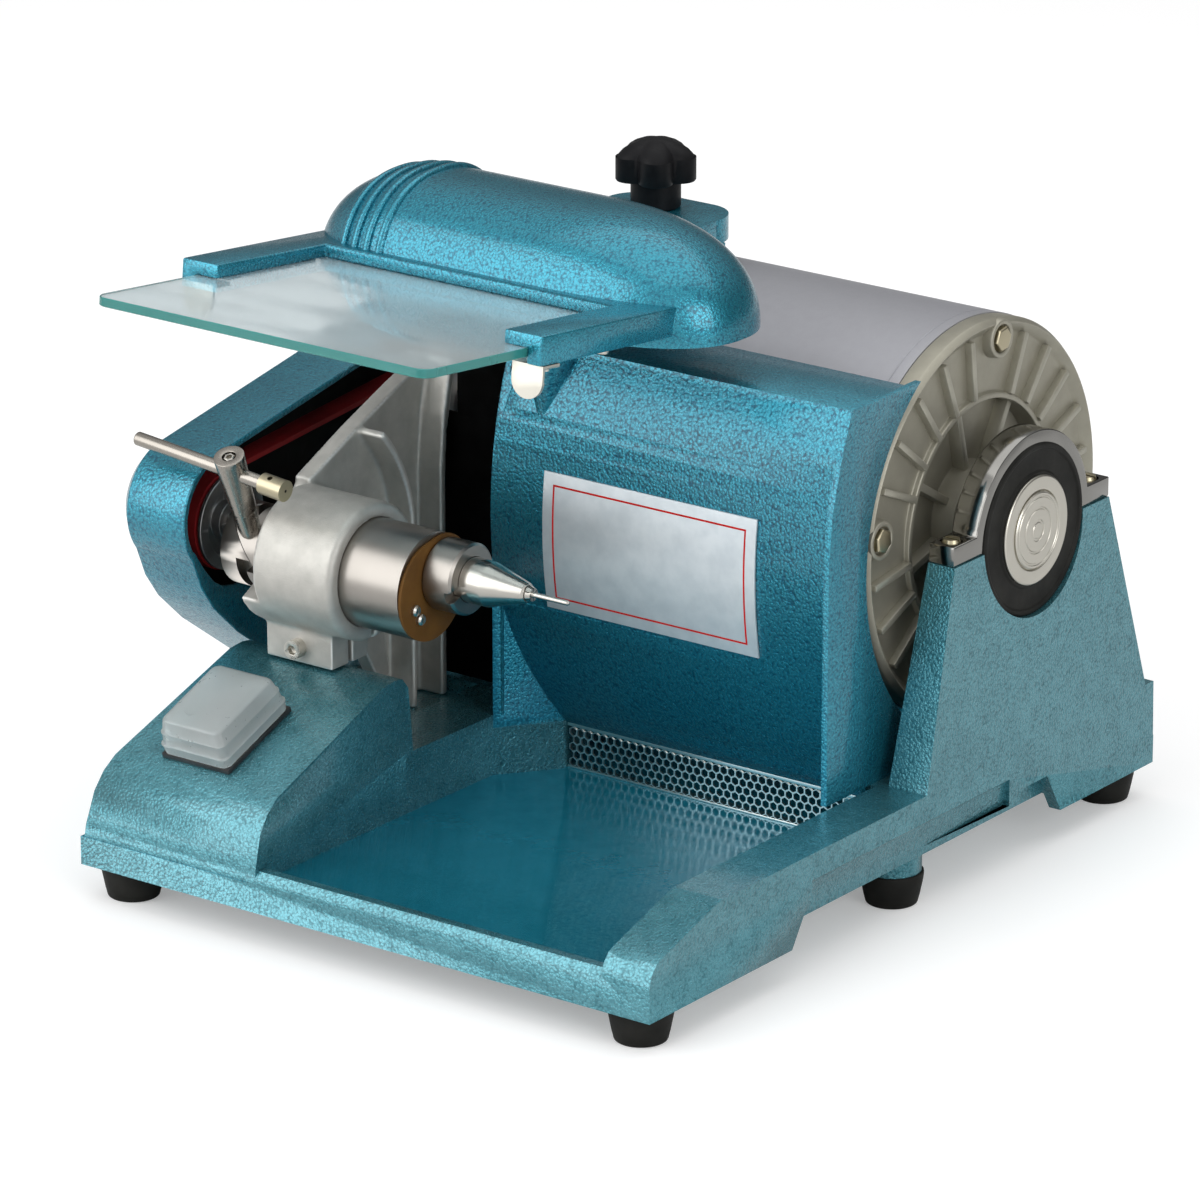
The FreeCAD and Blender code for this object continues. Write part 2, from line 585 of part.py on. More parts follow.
def belt_guard_screws():
    screws = [join(rod_z(LEDGE_Z + 3, LEDGE_Z + 5.5, 3.8, 10, y), rod_z(LEDGE_Z - 10, LEDGE_Z + 4, 2.05, 10, y)) for y in TAB_SCREWS]
    return Part.makeCompound(screws)


def bracket_web():
    top = [(112, 166), (112, 168.5), (144.4, 183), (176, 195.5), (195, 202)]
    back = [(197, 200), (191.8, 172), (191.8, POCKET_Z)]
    return prism_x([(108, 160)] + top + back + [(161, POCKET_Z), (153, 92), (127, 110)], WEB_X0, WEB_X1)


def bracket_pillar():
    front = [(PILLAR_Y, POCKET_Z), (PILLAR_Y, 155), (PILLAR_Y + 2.4, 180), (PILLAR_Y + 7.5, 202)]
    back = [(PILLAR_Y + 11.5, 200), (PILLAR_Y + 5.4, 172), (PILLAR_Y + 4, 150), (PILLAR_Y + 4, POCKET_Z)]
    return prism_x(front + back, WEB_X0, RIB_X1)


def bracket_rib():
    x = WEB_X0 + 1
    outer = (V(x, 148.6, 183.4), V(x, 163.4, 162), V(x, 170.4, 137))
    inner = (V(x, 145.8, 181.2), V(x, 160.3, 160.6), V(x, 167.2, 137))
    arch = [Part.Arc(*outer).toShape(), Part.makeLine(outer[2], V(x, 170.4, POCKET_Z))]
    arch += [Part.makeLine(V(x, 170.4, POCKET_Z), V(x, 167.2, POCKET_Z)), Part.makeLine(V(x, 167.2, POCKET_Z), inner[2])]
    arch += [Part.Arc(*reversed(inner)).toShape(), Part.makeLine(inner[0], outer[0])]
    return Part.Face(Part.Wire(arch)).extrude(V(RIB_X1 - x, 0, 0))


def spindle_bracket():
    clamp = rod_x(CLAMP_X0, CLAMP_X1 - 2, CLAMP_R, QUILL_Y, QUILL_Z)
    clamp = join(clamp, cone_x(CLAMP_X1 - 2, CLAMP_X1, CLAMP_R, CLAMP_R - 2, QUILL_Y, QUILL_Z))
    horn = tube_x(29.5, CLAMP_X0 + 1, CLAMP_R, CAM_R + 1.2, QUILL_Y, QUILL_Z)
    lower = [(QUILL_Y, QUILL_Z), (QUILL_Y - 40, QUILL_Z - 22), (QUILL_Y - 40, QUILL_Z - 60), (QUILL_Y, QUILL_Z - 60)]
    horn = horn.common(prism_x(lower, 20, 60))
    ears = box(31.6, QUILL_Y - 13, 92.3, 68.4, QUILL_Y + 13, QUILL_Z - 20)
    heel = prism_x([(QUILL_Y + 8, 112), (QUILL_Y + 29, 128), (153, 100), (158, 66), (150, 66), (128, 102)], WEB_X1 - 1, 47)
    foot = box(12, 166, POCKET_Z, WEB_X0 + 1, PILLAR_Y + 4, POCKET_Z + 6)
    head = join(clamp, horn, ears, bracket_web(), bracket_pillar(), bracket_rib(), heel, foot)
    head = head.cut(rod_x(20, CLAMP_X1 + 1, QUILL_R + 0.02, QUILL_Y, QUILL_Z).cut(rod_x(19, CLAMP_X0, 60, QUILL_Y, QUILL_Z)))
    head = head.cut(rod_x(20, CLAMP_X0, CAM_R + 1.2, QUILL_Y, QUILL_Z))
    head = head.cut(box(28, QUILL_Y - 1.2, 80, CLAMP_X1 + 1, QUILL_Y + 1.2, QUILL_Z - 18))
    head = head.cut(rod_y(QUILL_Y - 20, QUILL_Y + 20, 2.7, 50, 99.5))
    for x, y in BRACKET_BOLTS:
        head = head.cut(rod_z(POCKET_Z - 1, POCKET_Z + 7, 2.8, x, y))
    return head


def bracket_bolts():
    top = POCKET_Z + 6
    bolts = [join(rod_z(top, top + 5, 4.3, x, y), rod_z(top - 11.5, top + 1, 2.55, x, y)) for x, y in BRACKET_BOLTS]
    head = rod_y(QUILL_Y - 18, QUILL_Y - 13, 4.3, 50, 99.5).cut(hex_y(QUILL_Y - 19, QUILL_Y - 15.5, 4, 50, 99.5))
    bolts.append(join(head, rod_y(QUILL_Y - 14, QUILL_Y + 12, 2.55, 50, 99.5)))
    return Part.makeCompound(bolts)


def hex_y(y0, y1, across, x, z):
    r = across / math.sqrt(3.0)
    ring = [(x + r * math.cos(math.radians(60 * i)), z + r * math.sin(math.radians(60 * i))) for i in range(6)]
    return prism_y(ring, y0, y1)


def quill_angle(phi, r):
    a = math.radians(phi)
    return QUILL_Y - r * math.sin(a), QUILL_Z + r * math.cos(a)


def sector(start, stop, left, right, r0, r1):
    steps = max(2, int(round((stop - start) / 9.0)))
    wires = []
    for i in range(steps + 1):
        phi = start + (stop - start) * i / steps
        corners = []
        for x, r in ((left(phi), r0), (right(phi), r0), (right(phi), r1), (left(phi), r1)):
            y, z = quill_angle(phi, r)
            corners.append(V(x, y, z))
        wires.append(Part.makePolygon(corners + [corners[0]]))
    return Part.makeLoft(wires, True, True)


def helix_edge(phi):
    return CAM_X0 + HELIX * math.radians(phi - 30)


def quill_sleeve():
    body = rod_x(CLAMP_X0, QUILL_X1, QUILL_R, QUILL_Y, QUILL_Z)
    neck = rod_x(CAM_X0, CLAMP_X0 + 1, NECK_R, QUILL_Y, QUILL_Z)
    wide = sector(93, 368, lambda p: CAM_X0, lambda p: 20.0, NECK_R - 1, CAM_R)
    ramp = sector(30, 93, lambda p: CAM_X0 - 0.01, helix_edge, NECK_R - 1, CAM_R)
    body = join(body, neck, wide, ramp)
    body = body.cut(rod_x(CAM_X0 - 1, QUILL_X1 + 1, 7.0, SP_Y, SP_Z).common(box(CLAMP_X0 + 10, 0, 0, 200, 200, 200)))
    body = body.cut(rod_x(CAM_X0 - 1, CLAMP_X0 + 11, TAIL_R + 0.5, SP_Y, SP_Z))
    for x0, x1 in bearing_spans():
        body = body.cut(rod_x(x0, x1, 13.0, SP_Y, SP_Z))
    body = body.cut(rod_x(QUILL_X1 - 5, QUILL_X1 + 1, 13.0, SP_Y, SP_Z))
    for y, z in plate_screw_spots():
        body = body.cut(rod_x(QUILL_X1 - 6, QUILL_X1 + 1, 1.3, y, z))
    return body


def bearing_spans():
    return [(CLAMP_X0 + 4, CLAMP_X0 + 12), (QUILL_X1 - 13, QUILL_X1 - 5)]


def spindle_bearings():
    return Part.makeCompound([tube_x(x0, x1, 13.0, SHAFT_R + RUN, SP_Y, SP_Z) for x0, x1 in bearing_spans()])


def plate_screw_spots():
    return [(QUILL_Y - 14.5, QUILL_Z - 6.5), (QUILL_Y - 11.0, QUILL_Z - 11.5)]


def dust_plate():
    x0 = QUILL_X1
    plate = hull_of_circles(SP_Y, SP_Z, 17.4, QUILL_Y - 1.5, QUILL_Z - 1.5, 22.2, x0, x0 + 1.6)
    plate = plate.cut(rod_x(x0 - 1, x0 + 3, SHAFT_R + 1.0, SP_Y, SP_Z))
    for y, z in plate_screw_spots():
        plate = plate.cut(rod_x(x0 - 1, x0 + 3, 1.6, y, z))
    return plate


def plate_screws():
    screws = []
    for y, z in plate_screw_spots():
        head = rod_x(QUILL_X1 + 1.6, QUILL_X1 + 3.2, 2.5, y, z)
        head = join(head, cone_x(QUILL_X1 + 3.2, QUILL_X1 + 4.0, 2.5, 1.7, y, z))
        head = head.cut(box(QUILL_X1 + 3.2, y - 0.35, z - 4, QUILL_X1 + 5, y + 0.35, z + 4))
        screws.append(join(head, rod_x(QUILL_X1 - 5, QUILL_X1 + 2, 1.25, y, z)))
    return Part.makeCompound(screws)


def lever_collar():
    wide = sector(30, 111, lambda p: helix_edge(p) + 0.45, lambda p: 35.0, NECK_R + 0.05, CAM_R)
    band = sector(111, 390, lambda p: 25.0, lambda p: 35.0, NECK_R + 0.05, CAM_R)
    body = join(wide, band)
    return body


def thrust_ring():
    return tube_x(35.0, 37.6, CAM_R, NECK_R + 0.05, QUILL_Y, QUILL_Z)


STEM_DIR = V(0.065, -0.403, 0.914).normalize()
STEM_FOOT = V(24.7, 88.8, 149.0)
STEM_L = 42.0
ROD_AT = 32.5
ROD_DIR = V(1.0, -0.028, -0.0835).normalize()


def stem_point(along):
    return STEM_FOOT + STEM_DIR * along


def lever_stem():
    lower = Part.makeCone(4.4, 5.6, 12, stem_point(-2.0), STEM_DIR)
    upper = Part.makeCone(5.2, 6.9, STEM_L - 2, stem_point(2.0), STEM_DIR)
    stem = join(lower, upper)
    keep_out = rod_x(0, 60, CAM_R, QUILL_Y, QUILL_Z)
    stem = stem.cut(keep_out)
    centre = stem_point(ROD_AT)
    stem = stem.cut(Part.makeCylinder(3.14, 30, centre - ROD_DIR * 15, ROD_DIR))
    return stem.cut(Part.makeCylinder(2.55, 12, stem_point(STEM_L - 5.5), STEM_DIR))


def stem_screw():
    screw = Part.makeCylinder(2.5, 5.0, stem_point(STEM_L - 5.4), STEM_DIR)
    socket = Part.makeCylinder(1.4, 4.0, stem_point(STEM_L - 3.0), STEM_DIR)
    return screw.cut(socket)


def cross_rod():
    start = stem_point(ROD_AT) - ROD_DIR * 55.5
    return Part.makeCylinder(3.1, 72.5, start, ROD_DIR)


def rod_cap():
    start = stem_point(ROD_AT) + ROD_DIR * 17
    cap = Part.makeCylinder(4.8, 12.5, start, ROD_DIR)
    cap = cap.cut(Part.makeCylinder(1.2, 12, start + ROD_DIR * 5 + STEM_DIR * 6, STEM_DIR * -1))
    return cap


def spindle_shaft():
    shaft = join(rod_x(BELT_X0 - 4, CLAMP_X0 + 5, TAIL_R, SP_Y, SP_Z), rod_x(CLAMP_X0 + 4, QUILL_X1 + 12, SHAFT_R, SP_Y, SP_Z))
    shaft = shaft.cut(rod_x(QUILL_X1 - 20, QUILL_X1 + 13, 3.1, SP_Y, SP_Z))
    return shaft


def nose_collar():
    x0 = QUILL_X1 + 1.9
    body = join(cone_x(x0, x0 + 1, 15.4, 16.0, SP_Y, SP_Z), rod_x(x0 + 1, 129.6, 16.0, SP_Y, SP_Z), cone_x(129.6, 130.7, 16.0, 14.9, SP_Y, SP_Z))
    body = body.cut(rod_x(x0 - 1, QUILL_X1 + 12, SHAFT_R, SP_Y, SP_Z))
    body = body.cut(rod_x(QUILL_X1 + 11, 132, 10.3, SP_Y, SP_Z))
    notch = box(127.5, SP_Y - 17, SP_Z - 2.6, 132, SP_Y - 9, SP_Z + 2.6)
    notch.rotate(V(0, SP_Y, SP_Z), V(1, 0, 0), 18)
    return body.cut(notch)


def collet_nut():
    x0 = QUILL_X1 + 12.2
    body = join(rod_x(x0, 139.5, 10.1, SP_Y, SP_Z), cone_x(139.5, 161.0, 10.1, 4.4, SP_Y, SP_Z))
    return body.cut(rod_x(x0 - 1, 163, 3.1, SP_Y, SP_Z))


def collet():
    body = join(rod_x(QUILL_X1 - 6, 160.5, 3.05, SP_Y, SP_Z), cone_x(161.4, 163.6, 3.6, 2.9, SP_Y, SP_Z), rod_x(160, 161.6, 3.05, SP_Y, SP_Z))
    body = body.cut(rod_x(140, 165, SHANK_R + RUN, SP_Y, SP_Z))
    for turn in (0, 60, 120):
        slit = box(150, SP_Y - 0.25, SP_Z - 5, 165, SP_Y + 0.25, SP_Z + 5)
        slit.rotate(V(0, SP_Y, SP_Z), V(1, 0, 0), turn)
        body = body.cut(slit)
    return body


def tool_pin():
    shank = rod_x(142, 163.9, SHANK_R, SP_Y, SP_Z)
    return join(shank, rod_x(163, 181.7, PIN_R, SP_Y, SP_Z), cone_x(181.7, 182.7, PIN_R, 0.6, SP_Y, SP_Z))


def tilt(solid):
    solid.rotate(V(0, HOOD_Y0, HOOD_Z), V(1, 0, 0), -HOOD_TILT)
    return solid


def hood_bracket():
    top = HOOD_Z
    low = HOOD_Z - ARM_T
    arms = join(box(ARM_X0, HOOD_Y0, low, ARM_X0 + ARM_W, 168, top), box(ARM_X1 - ARM_W, HOOD_Y0, low, ARM_X1, 168, top))
    bridge = box(ARM_X0, 134, low, ARM_X1, 168, top)
    frame = join(arms, bridge)
    slot_z = top - 6.2 - GLASS_T
    frame = frame.cut(box(ARM_X0 + 7.5, HOOD_Y0 - 1, slot_z - 3.2, ARM_X1 - 7.5, 142, top - 6.2))
    frame = frame.cut(box(ARM_X0 + 7.5, HOOD_Y0 - 1, low - 1, ARM_X1 - 7.5, 142, slot_z - 3.1))
    for x in (ARM_X0 + 7.5, ARM_X1 - 7.5):
        ledge = box(x - 7, HOOD_Y0 + 14, low, x + 7, 134, slot_z - 0.02)
        frame = join(frame, ledge.common(box(ARM_X0 + 7, HOOD_Y0, low, ARM_X1 - 7, 140, top)))
    frame = frame.cut(box(ARM_X0 + 30, 150, low - 1, ARM_X1 - 30, 180, top - 3))
    return tilt(frame)


def glass_shield():
    top = HOOD_Z - 6.2
    x0 = ARM_X0 + 7.8
    x1 = ARM_X1 - 7.8
    y0 = HOOD_Y0 - GLASS_OUT
    pane = box(x0, y0, top - GLASS_T, x1, 141.7, top)
    corners = edges_at(pane, lambda e: abs(e.BoundBox.ZLength - GLASS_T) < 0.01 and e.BoundBox.YMax < y0 + 1)
    return tilt(pane.makeFillet(7.0, corners))


def glass_clips():
    clips = []
    low = HOOD_Z - ARM_T
    for x in (ARM_X0 + 8, ARM_X1 - 8):
        leaf = box(x - 8, HOOD_Y0 + 2, low - 1.6, x + 8, HOOD_Y0 + 13.5, low)
        drop = join(box(x - 8, HOOD_Y0 + 2, low - 7, x + 8, HOOD_Y0 + 3.6, low), rod_y(HOOD_Y0 + 2, HOOD_Y0 + 3.6, 8, x, low - 7))
        drop = drop.common(box(0, 0, low - 30, 300, 200, low))
        clips.append(tilt(join(leaf, drop).cut(rod_z(low - 20, low + 1, 1.7, x + (3 if x > 100 else -3), HOOD_Y0 + 9))))
    return Part.makeCompound(clips)


def clip_screws():
    screws = []
    low = HOOD_Z - ARM_T
    for x in (ARM_X0 + 5, ARM_X1 - 5):
        screw = join(rod_z(low - 3.4, low - 1.6, 2.8, x, HOOD_Y0 + 9), rod_z(low - 2, low - 0.01, 1.65, x, HOOD_Y0 + 9))
        screws.append(tilt(screw))
        far = join(rod_z(low - 1.8, low, 2.8, x, HOOD_Y0 + 50))
        screws.append(tilt(far))
    return Part.makeCompound(screws)


def dome_wire(x, half, high, z0, n=16):
    points = []
    for i in range(n + 1):
        t = math.pi * i / n
        c = math.cos(t)
        s = math.sin(t)
        y = DOME_Y - half * math.copysign(abs(c) ** 0.85, c)
        z = z0 + high * abs(s) ** 0.85
        points.append(V(x, y, z))
    return Part.makePolygon(points + [points[0]])


def dome_sections(inset):
    rows = [(0.0, 0.30, 0.34), (0.03, 0.56, 0.56), (0.09, 0.80, 0.79), (0.17, 0.94, 0.94), (0.27, 1.0, 1.0), (0.62, 1.0, 0.995), (0.78, 0.93, 0.93), (0.89, 0.78, 0.80), (0.96, 0.58, 0.60), (1.0, 0.34, 0.36)]
    length = DOME_X1 - DOME_X0 - 2 * inset
    wires = []
    for u, wide, tall in rows:
        x = DOME_X0 + inset + u * length
        wires.append(dome_wire(x, DOME_HALF * wide - inset, DOME_H * tall - inset, DOME_Z))
    return wires


def hood_dome():
    outer = Part.makeLoft(dome_sections(0.0), True, True)
    inner = Part.makeLoft(dome_sections(DOME_WALL), True, True)
    inner.translate(V(0, 0, -0.01))
    shell = outer.cut(inner)
    for i in range(4):
        x = 34.5 + 7.3 * i
        ridge = Part.makeLoft([dome_wire(x, DOME_HALF * 0.965 + 1.0 * w, DOME_H * 0.965 + 1.2 * w, DOME_Z) for x, w in ((x, 1), (x + 3.6, 1.25))], True, True)
        shell = shell.fuse(ridge.cut(inner))
    slot = tilt(box(ARM_X0 - 2, 100, HOOD_Z - ARM_T - 0.01, ARM_X1 + 2, 168.0, HOOD_Z + 0.01))
    shell = shell.cut(slot)
    return largest(shell)


def largest(shape):
    return max(shape.Solids, key=lambda s: s.Volume)


def hood_lug():
    arm = box(PIVOT_X - 26, 219, LUG_Z, PIVOT_X + 36, PIVOT_Y - 4, LUG_Z + LUG_T)
    end = join(rod_z(LUG_Z, LUG_Z + LUG_T, 17, PIVOT_X - 9, PIVOT_Y), rod_z(LUG_Z, LUG_Z + LUG_T, 17, PIVOT_X + 19, PIVOT_Y), box(PIVOT_X - 9, PIVOT_Y - 17, LUG_Z, PIVOT_X + 19, PIVOT_Y + 17, LUG_Z + LUG_T))
    lug = join(arm, end).cut(rod_z(LUG_Z - 1, LUG_Z + LUG_T + 1, 4.05, PIVOT_X, PIVOT_Y))
    return lug.cut(Part.makeLoft(dome_sections(0.0), True, True))


def hood_post():
    post = rod_z(MOT_Z + 80, LUG_Z, 13, PIVOT_X, PIVOT_Y)
    plinth = box(PIVOT_X, PIVOT_Y - 20, MOT_Z + 80, PIVOT_X + 24, PIVOT_Y + 20, MOT_Z + MOT_R + 4)
    post = join(post, plinth)
    post = post.cut(rod_x(SHELL_X0 - 30, SHELL_X1, MOT_R, MOT_Y, MOT_Z))
    post = post.cut(box(0, 0, 0, SHELL_X0, 400, MOT_Z + MOT_R + 1.5))
    return post.cut(rod_z(LUG_Z - 9.5, LUG_Z + 1, 4.05, PIVOT_X, PIVOT_Y))


def post_screws():
    screws = []
    for y in (PIVOT_Y - 15.5, PIVOT_Y + 15.5):
        screws.append(rod_z(MOT_Z + MOT_R + 4, MOT_Z + MOT_R + 7, 3.6, PIVOT_X + 18, y))
    return Part.makeCompound(screws)


def star_knob():
    z0 = LUG_Z + LUG_T
    hub = rod_z(z0, z0 + 14, 11.3, PIVOT_X, PIVOT_Y)
    head = rod_z(z0 + 13, z0 + 32, 15.6, PIVOT_X, PIVOT_Y)
    for i in range(5):
        a = math.radians(18 + 72 * i)
        head = head.fuse(rod_z(z0 + 13, z0 + 32, 6.6, PIVOT_X + 12.0 * math.cos(a), PIVOT_Y + 12.0 * math.sin(a)))
    for i in range(5):
        a = math.radians(54 + 72 * i)
        head = head.cut(rod_z(z0 + 11, z0 + 34, 5.2, PIVOT_X + 19.5 * math.cos(a), PIVOT_Y + 19.5 * math.sin(a)))
    dome = Part.makeSphere(30, V(PIVOT_X, PIVOT_Y, z0 + 1.0))
    head = head.common(dome)
    knob = join(hub, head)
    return knob.cut(rod_z(z0 - 1, z0 + 12, 4.0, PIVOT_X, PIVOT_Y))


def knob_stud():
    return rod_z(LUG_Z - 9.0, LUG_Z + LUG_T + 12, 4.0, PIVOT_X, PIVOT_Y)


def lamp():
    holder = box(60, 172, 254, 66, 190, 270).fuse(box(150, 172, 254, 156, 190, 270))
    tube = rod_x(66, 150, 7, 181, 262)
    plate = box(58, 168, 270, 158, 194, 272)
    return join(holder, tube, plate)


def lamp_shelf():
    shelf = box(56, 140, 272, 160, 222, 274.5)
    return shelf.common(Part.makeLoft(dome_sections(DOME_WALL + 0.03), True, True))


def lamp_switch():
    return join(rod_z(244.5, DOME_Z + 3.4, 6.0, 196, 198), rod_z(DOME_Z + 2.4, DOME_Z + 3.4, 7.5, 196, 198))


def switch_boss():
    floor = box(178, 171, DOME_Z + 0.2, 230, 230, DOME_Z + 2.4)
    floor = floor.common(Part.makeLoft(dome_sections(DOME_WALL + 0.03), True, True))
    boss = rod_z(247.0, DOME_Z + 1, 9, 196, 198)
    return largest(join(floor, boss).cut(rod_z(240, 260, 6.1, 196, 198)))


def power_gland():
    body = join(rod_y(BASE_D - 11, BASE_D + 0.5, 6.0, 150, 39), hex_gland())
    return body.cut(rod_y(BASE_D - 12, BASE_D + 14, 3.4, 150, 39))


def hex_gland():
    nut = hex_y(BASE_D, BASE_D + 6, 16, 150, 39)
    return join(nut, Part.makeCone(7.5, 5.0, 6, V(150, BASE_D + 6, 39), V(0, 1, 0)))


os.makedirs("parts", exist_ok=True)
export(base_casting(), "base_casting")
export(rubber_feet(), "rubber_feet")
export(foot_screws(), "foot_screws")
export(tray_screen(), "tray_screen")
export(switch_bezel(), "switch_bezel")
export(switch_rocker(), "switch_rocker")
export(switch_cover(), "switch_cover")
export(power_gland(), "power_gland")
export(motor_guard(), "motor_guard")
export(guard_screws(), "guard_screws")
export(guard_plate(), "guard_plate")
export(motor_shell(), "motor_shell")
export(end_shield(True), "end_shield_right")
export(end_shield(False), "end_shield_left")
export(shield_bolts(), "shield_bolts")
export(rubber_rings(), "rubber_rings")
export(hub_discs(), "hub_discs")
export(medallion(), "medallion")
export(saddle_straps(), "saddle_straps")
export(strap_screws(), "strap_screws")
export(stator(), "stator")
export(rotor_core(), "rotor_core")
export(motor_shaft(), "motor_shaft")
export(motor_bearings(), "motor_bearings")
export(motor_pulley(), "motor_pulley")
export(spindle_pulley(), "spindle_pulley")
export(drive_belt(), "drive_belt")
export(belt_guard(), "belt_guard")
export(belt_guard_screws(), "belt_guard_screws")
export(spindle_bracket(), "spindle_bracket")
export(bracket_bolts(), "bracket_bolts")
export(quill_sleeve(), "quill_sleeve")
export(spindle_bearings(), "spindle_bearings")
export(dust_plate(), "dust_plate")
export(plate_screws(), "plate_screws")
export(lever_collar(), "lever_collar")
export(thrust_ring(), "thrust_ring")
export(lever_stem(), "lever_stem")
export(stem_screw(), "stem_screw")
export(cross_rod(), "cross_rod")
export(rod_cap(), "rod_cap")
export(spindle_shaft(), "spindle_shaft")
export(nose_collar(), "nose_collar")
export(collet_nut(), "collet_nut")
export(collet(), "collet")
export(tool_pin(), "tool_pin")
export(hood_dome(), "hood_dome")
export(hood_bracket(), "hood_bracket")
export(hood_lug(), "hood_lug")
export(hood_post(), "hood_post")
export(post_screws(), "post_screws")
export(glass_shield(), "glass_shield")
export(glass_clips(), "glass_clips")
export(clip_screws(), "clip_screws")
export(star_knob(), "star_knob")
export(knob_stud(), "knob_stud")
export(lamp(), "lamp")
export(lamp_shelf(), "lamp_shelf")
export(lamp_switch(), "lamp_switch")
export(switch_boss(), "switch_boss")
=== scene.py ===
import logging
import math
from dataclasses import dataclass
from enum import Enum

import bmesh
import bpy
from mathutils import Matrix, Vector


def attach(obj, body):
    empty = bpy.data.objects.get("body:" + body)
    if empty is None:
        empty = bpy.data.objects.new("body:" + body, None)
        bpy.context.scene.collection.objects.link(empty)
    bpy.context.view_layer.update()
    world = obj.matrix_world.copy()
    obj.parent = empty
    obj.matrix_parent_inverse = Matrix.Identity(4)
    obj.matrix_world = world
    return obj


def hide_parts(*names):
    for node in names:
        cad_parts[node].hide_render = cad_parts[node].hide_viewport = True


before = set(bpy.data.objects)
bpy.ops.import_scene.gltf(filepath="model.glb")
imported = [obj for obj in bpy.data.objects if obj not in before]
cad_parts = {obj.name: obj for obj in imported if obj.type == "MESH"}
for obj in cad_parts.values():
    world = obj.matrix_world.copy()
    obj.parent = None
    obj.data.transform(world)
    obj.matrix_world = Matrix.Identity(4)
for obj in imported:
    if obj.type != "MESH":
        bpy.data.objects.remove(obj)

LOG = logging.getLogger("dental_lathe")
MM = 0.001
CENTRE = Vector((135.0, 193.15, 0.0))
TO_FRAME = Matrix.Scale(MM, 4) @ Matrix.Translation(-CENTRE)
MOTOR_AXIS = Vector((0.0, 291.0, 149.0))
SPINDLE_AXIS = Vector((0.0, 109.2, 141.9))
X = Vector((1.0, 0.0, 0.0))
Z = Vector((0.0, 0.0, 1.0))


class Body(Enum):
    """The moving groups of the machine."""

    BASE = "base"
    ROCKER = "rocker"
    ROTOR = "rotor"
    SPINDLE = "spindle"
    COLLET = "collet_set"
    PUSH_SLEEVE = "push_sleeve"
    LEVER = "lever"
    ROD = "rod"
    HOOD = "hood"
    KNOB = "knob"
    BUTTON = "button"


# Shader effects that several finishes share


class NodeSheet:
    """A node tree that is filled in by short calls."""

    def __init__(self, tree: bpy.types.NodeTree) -> None:
        """Keeps the tree.

        Args:
            tree: the node tree to fill.
        """
        self.tree = tree

    def add(self, kind: str, **settings: object) -> bpy.types.Node:
        """Adds one node.

        Args:
            kind: the node's type name.
            settings: attributes to set on it.

        Returns:
            The new node.
        """
        node = self.tree.nodes.new(kind)
        for key, value in settings.items():
            setattr(node, key, value)
        return node

    def link(self, source: bpy.types.NodeSocket, target: bpy.types.NodeSocket) -> None:
        """Joins two sockets."""
        self.tree.links.new(source, target)

    def math(
        self, operation: str, first: object, second: object = None, clamp: bool = False
    ) -> bpy.types.NodeSocket:
        """Adds a Math node on sockets or numbers.

        Args:
            operation: the Math node's operation.
            first: a socket or a number.
            second: a socket, a number or nothing.
            clamp: whether to clamp the result to 0..1.

        Returns:
            The result socket.
        """
        node = self.add("ShaderNodeMath", operation=operation, use_clamp=clamp)
        for slot, value in zip(node.inputs, (first, second)):
            self.feed(value, slot)
        return node.outputs[0]

    def feed(self, value: object, slot: bpy.types.NodeSocket) -> None:
        """Links a socket, or writes a plain value."""
        if isinstance(value, bpy.types.NodeSocket):
            self.link(value, slot)
        elif value is not None:
            slot.default_value = value

    def blend(self, factor: object, first: object, second: object) -> bpy.types.NodeSocket:
        """Mixes two colours.

        Args:
            factor: the share of the second colour.
            first: a socket or a colour.
            second: a socket or a colour.

        Returns:
            The colour socket.
        """
        node = self.add("ShaderNodeMix", data_type="RGBA")
        self.feed(factor, node.inputs[0])
        self.feed(first, node.inputs[6])
        self.feed(second, node.inputs[7])
        return node.outputs[2]

    def ramp(
        self, value: bpy.types.NodeSocket, low: float, high: float, out_low: float = 0.0,
        out_high: float = 1.0
    ) -> bpy.types.NodeSocket:
        """Maps a range of a value to another range, clamped.

        Args:
            value: the socket to map.
            low: its low end.
            high: its high end.
            out_low: result at the low end.
            out_high: result at the high end.

        Returns:
            The mapped socket.
        """
        node = self.add("ShaderNodeMapRange")
        self.link(value, node.inputs["Value"])
        node.inputs["From Min"].default_value = low
        node.inputs["From Max"].default_value = high
        node.inputs["To Min"].default_value = out_low
        node.inputs["To Max"].default_value = out_high
        return node.outputs[0]

    def scaled(self, vector: bpy.types.NodeSocket, scale: object) -> bpy.types.NodeSocket:
        """Multiplies a vector by a number or by three numbers.

        Args:
            vector: the vector socket.
            scale: a number, a socket or three numbers.

        Returns:
            The scaled vector.
        """
        if isinstance(scale, tuple):
            node = self.add("ShaderNodeVectorMath", operation="MULTIPLY")
            node.inputs[1].default_value = scale
        else:
            node = self.add("ShaderNodeVectorMath", operation="SCALE")
            self.feed(scale, node.inputs["Scale"])
        self.link(vector, node.inputs[0])
        return node.outputs[0]

    def noise(
        self, vector: bpy.types.NodeSocket, scale: float, detail: float = 2.0, roughness: float = 0.5
    ) -> bpy.types.NodeSocket:
        """Adds a noise texture and gives its value.

        Args:
            vector: where to read it.
            scale: features per unit.
            detail: octaves.
            roughness: weight of the fine octaves.

        Returns:
            The noise value.
        """
        node = self.add("ShaderNodeTexNoise")
        self.link(vector, node.inputs["Vector"])
        node.inputs["Scale"].default_value = scale
        node.inputs["Detail"].default_value = detail
        node.inputs["Roughness"].default_value = roughness
        return node.outputs[0]


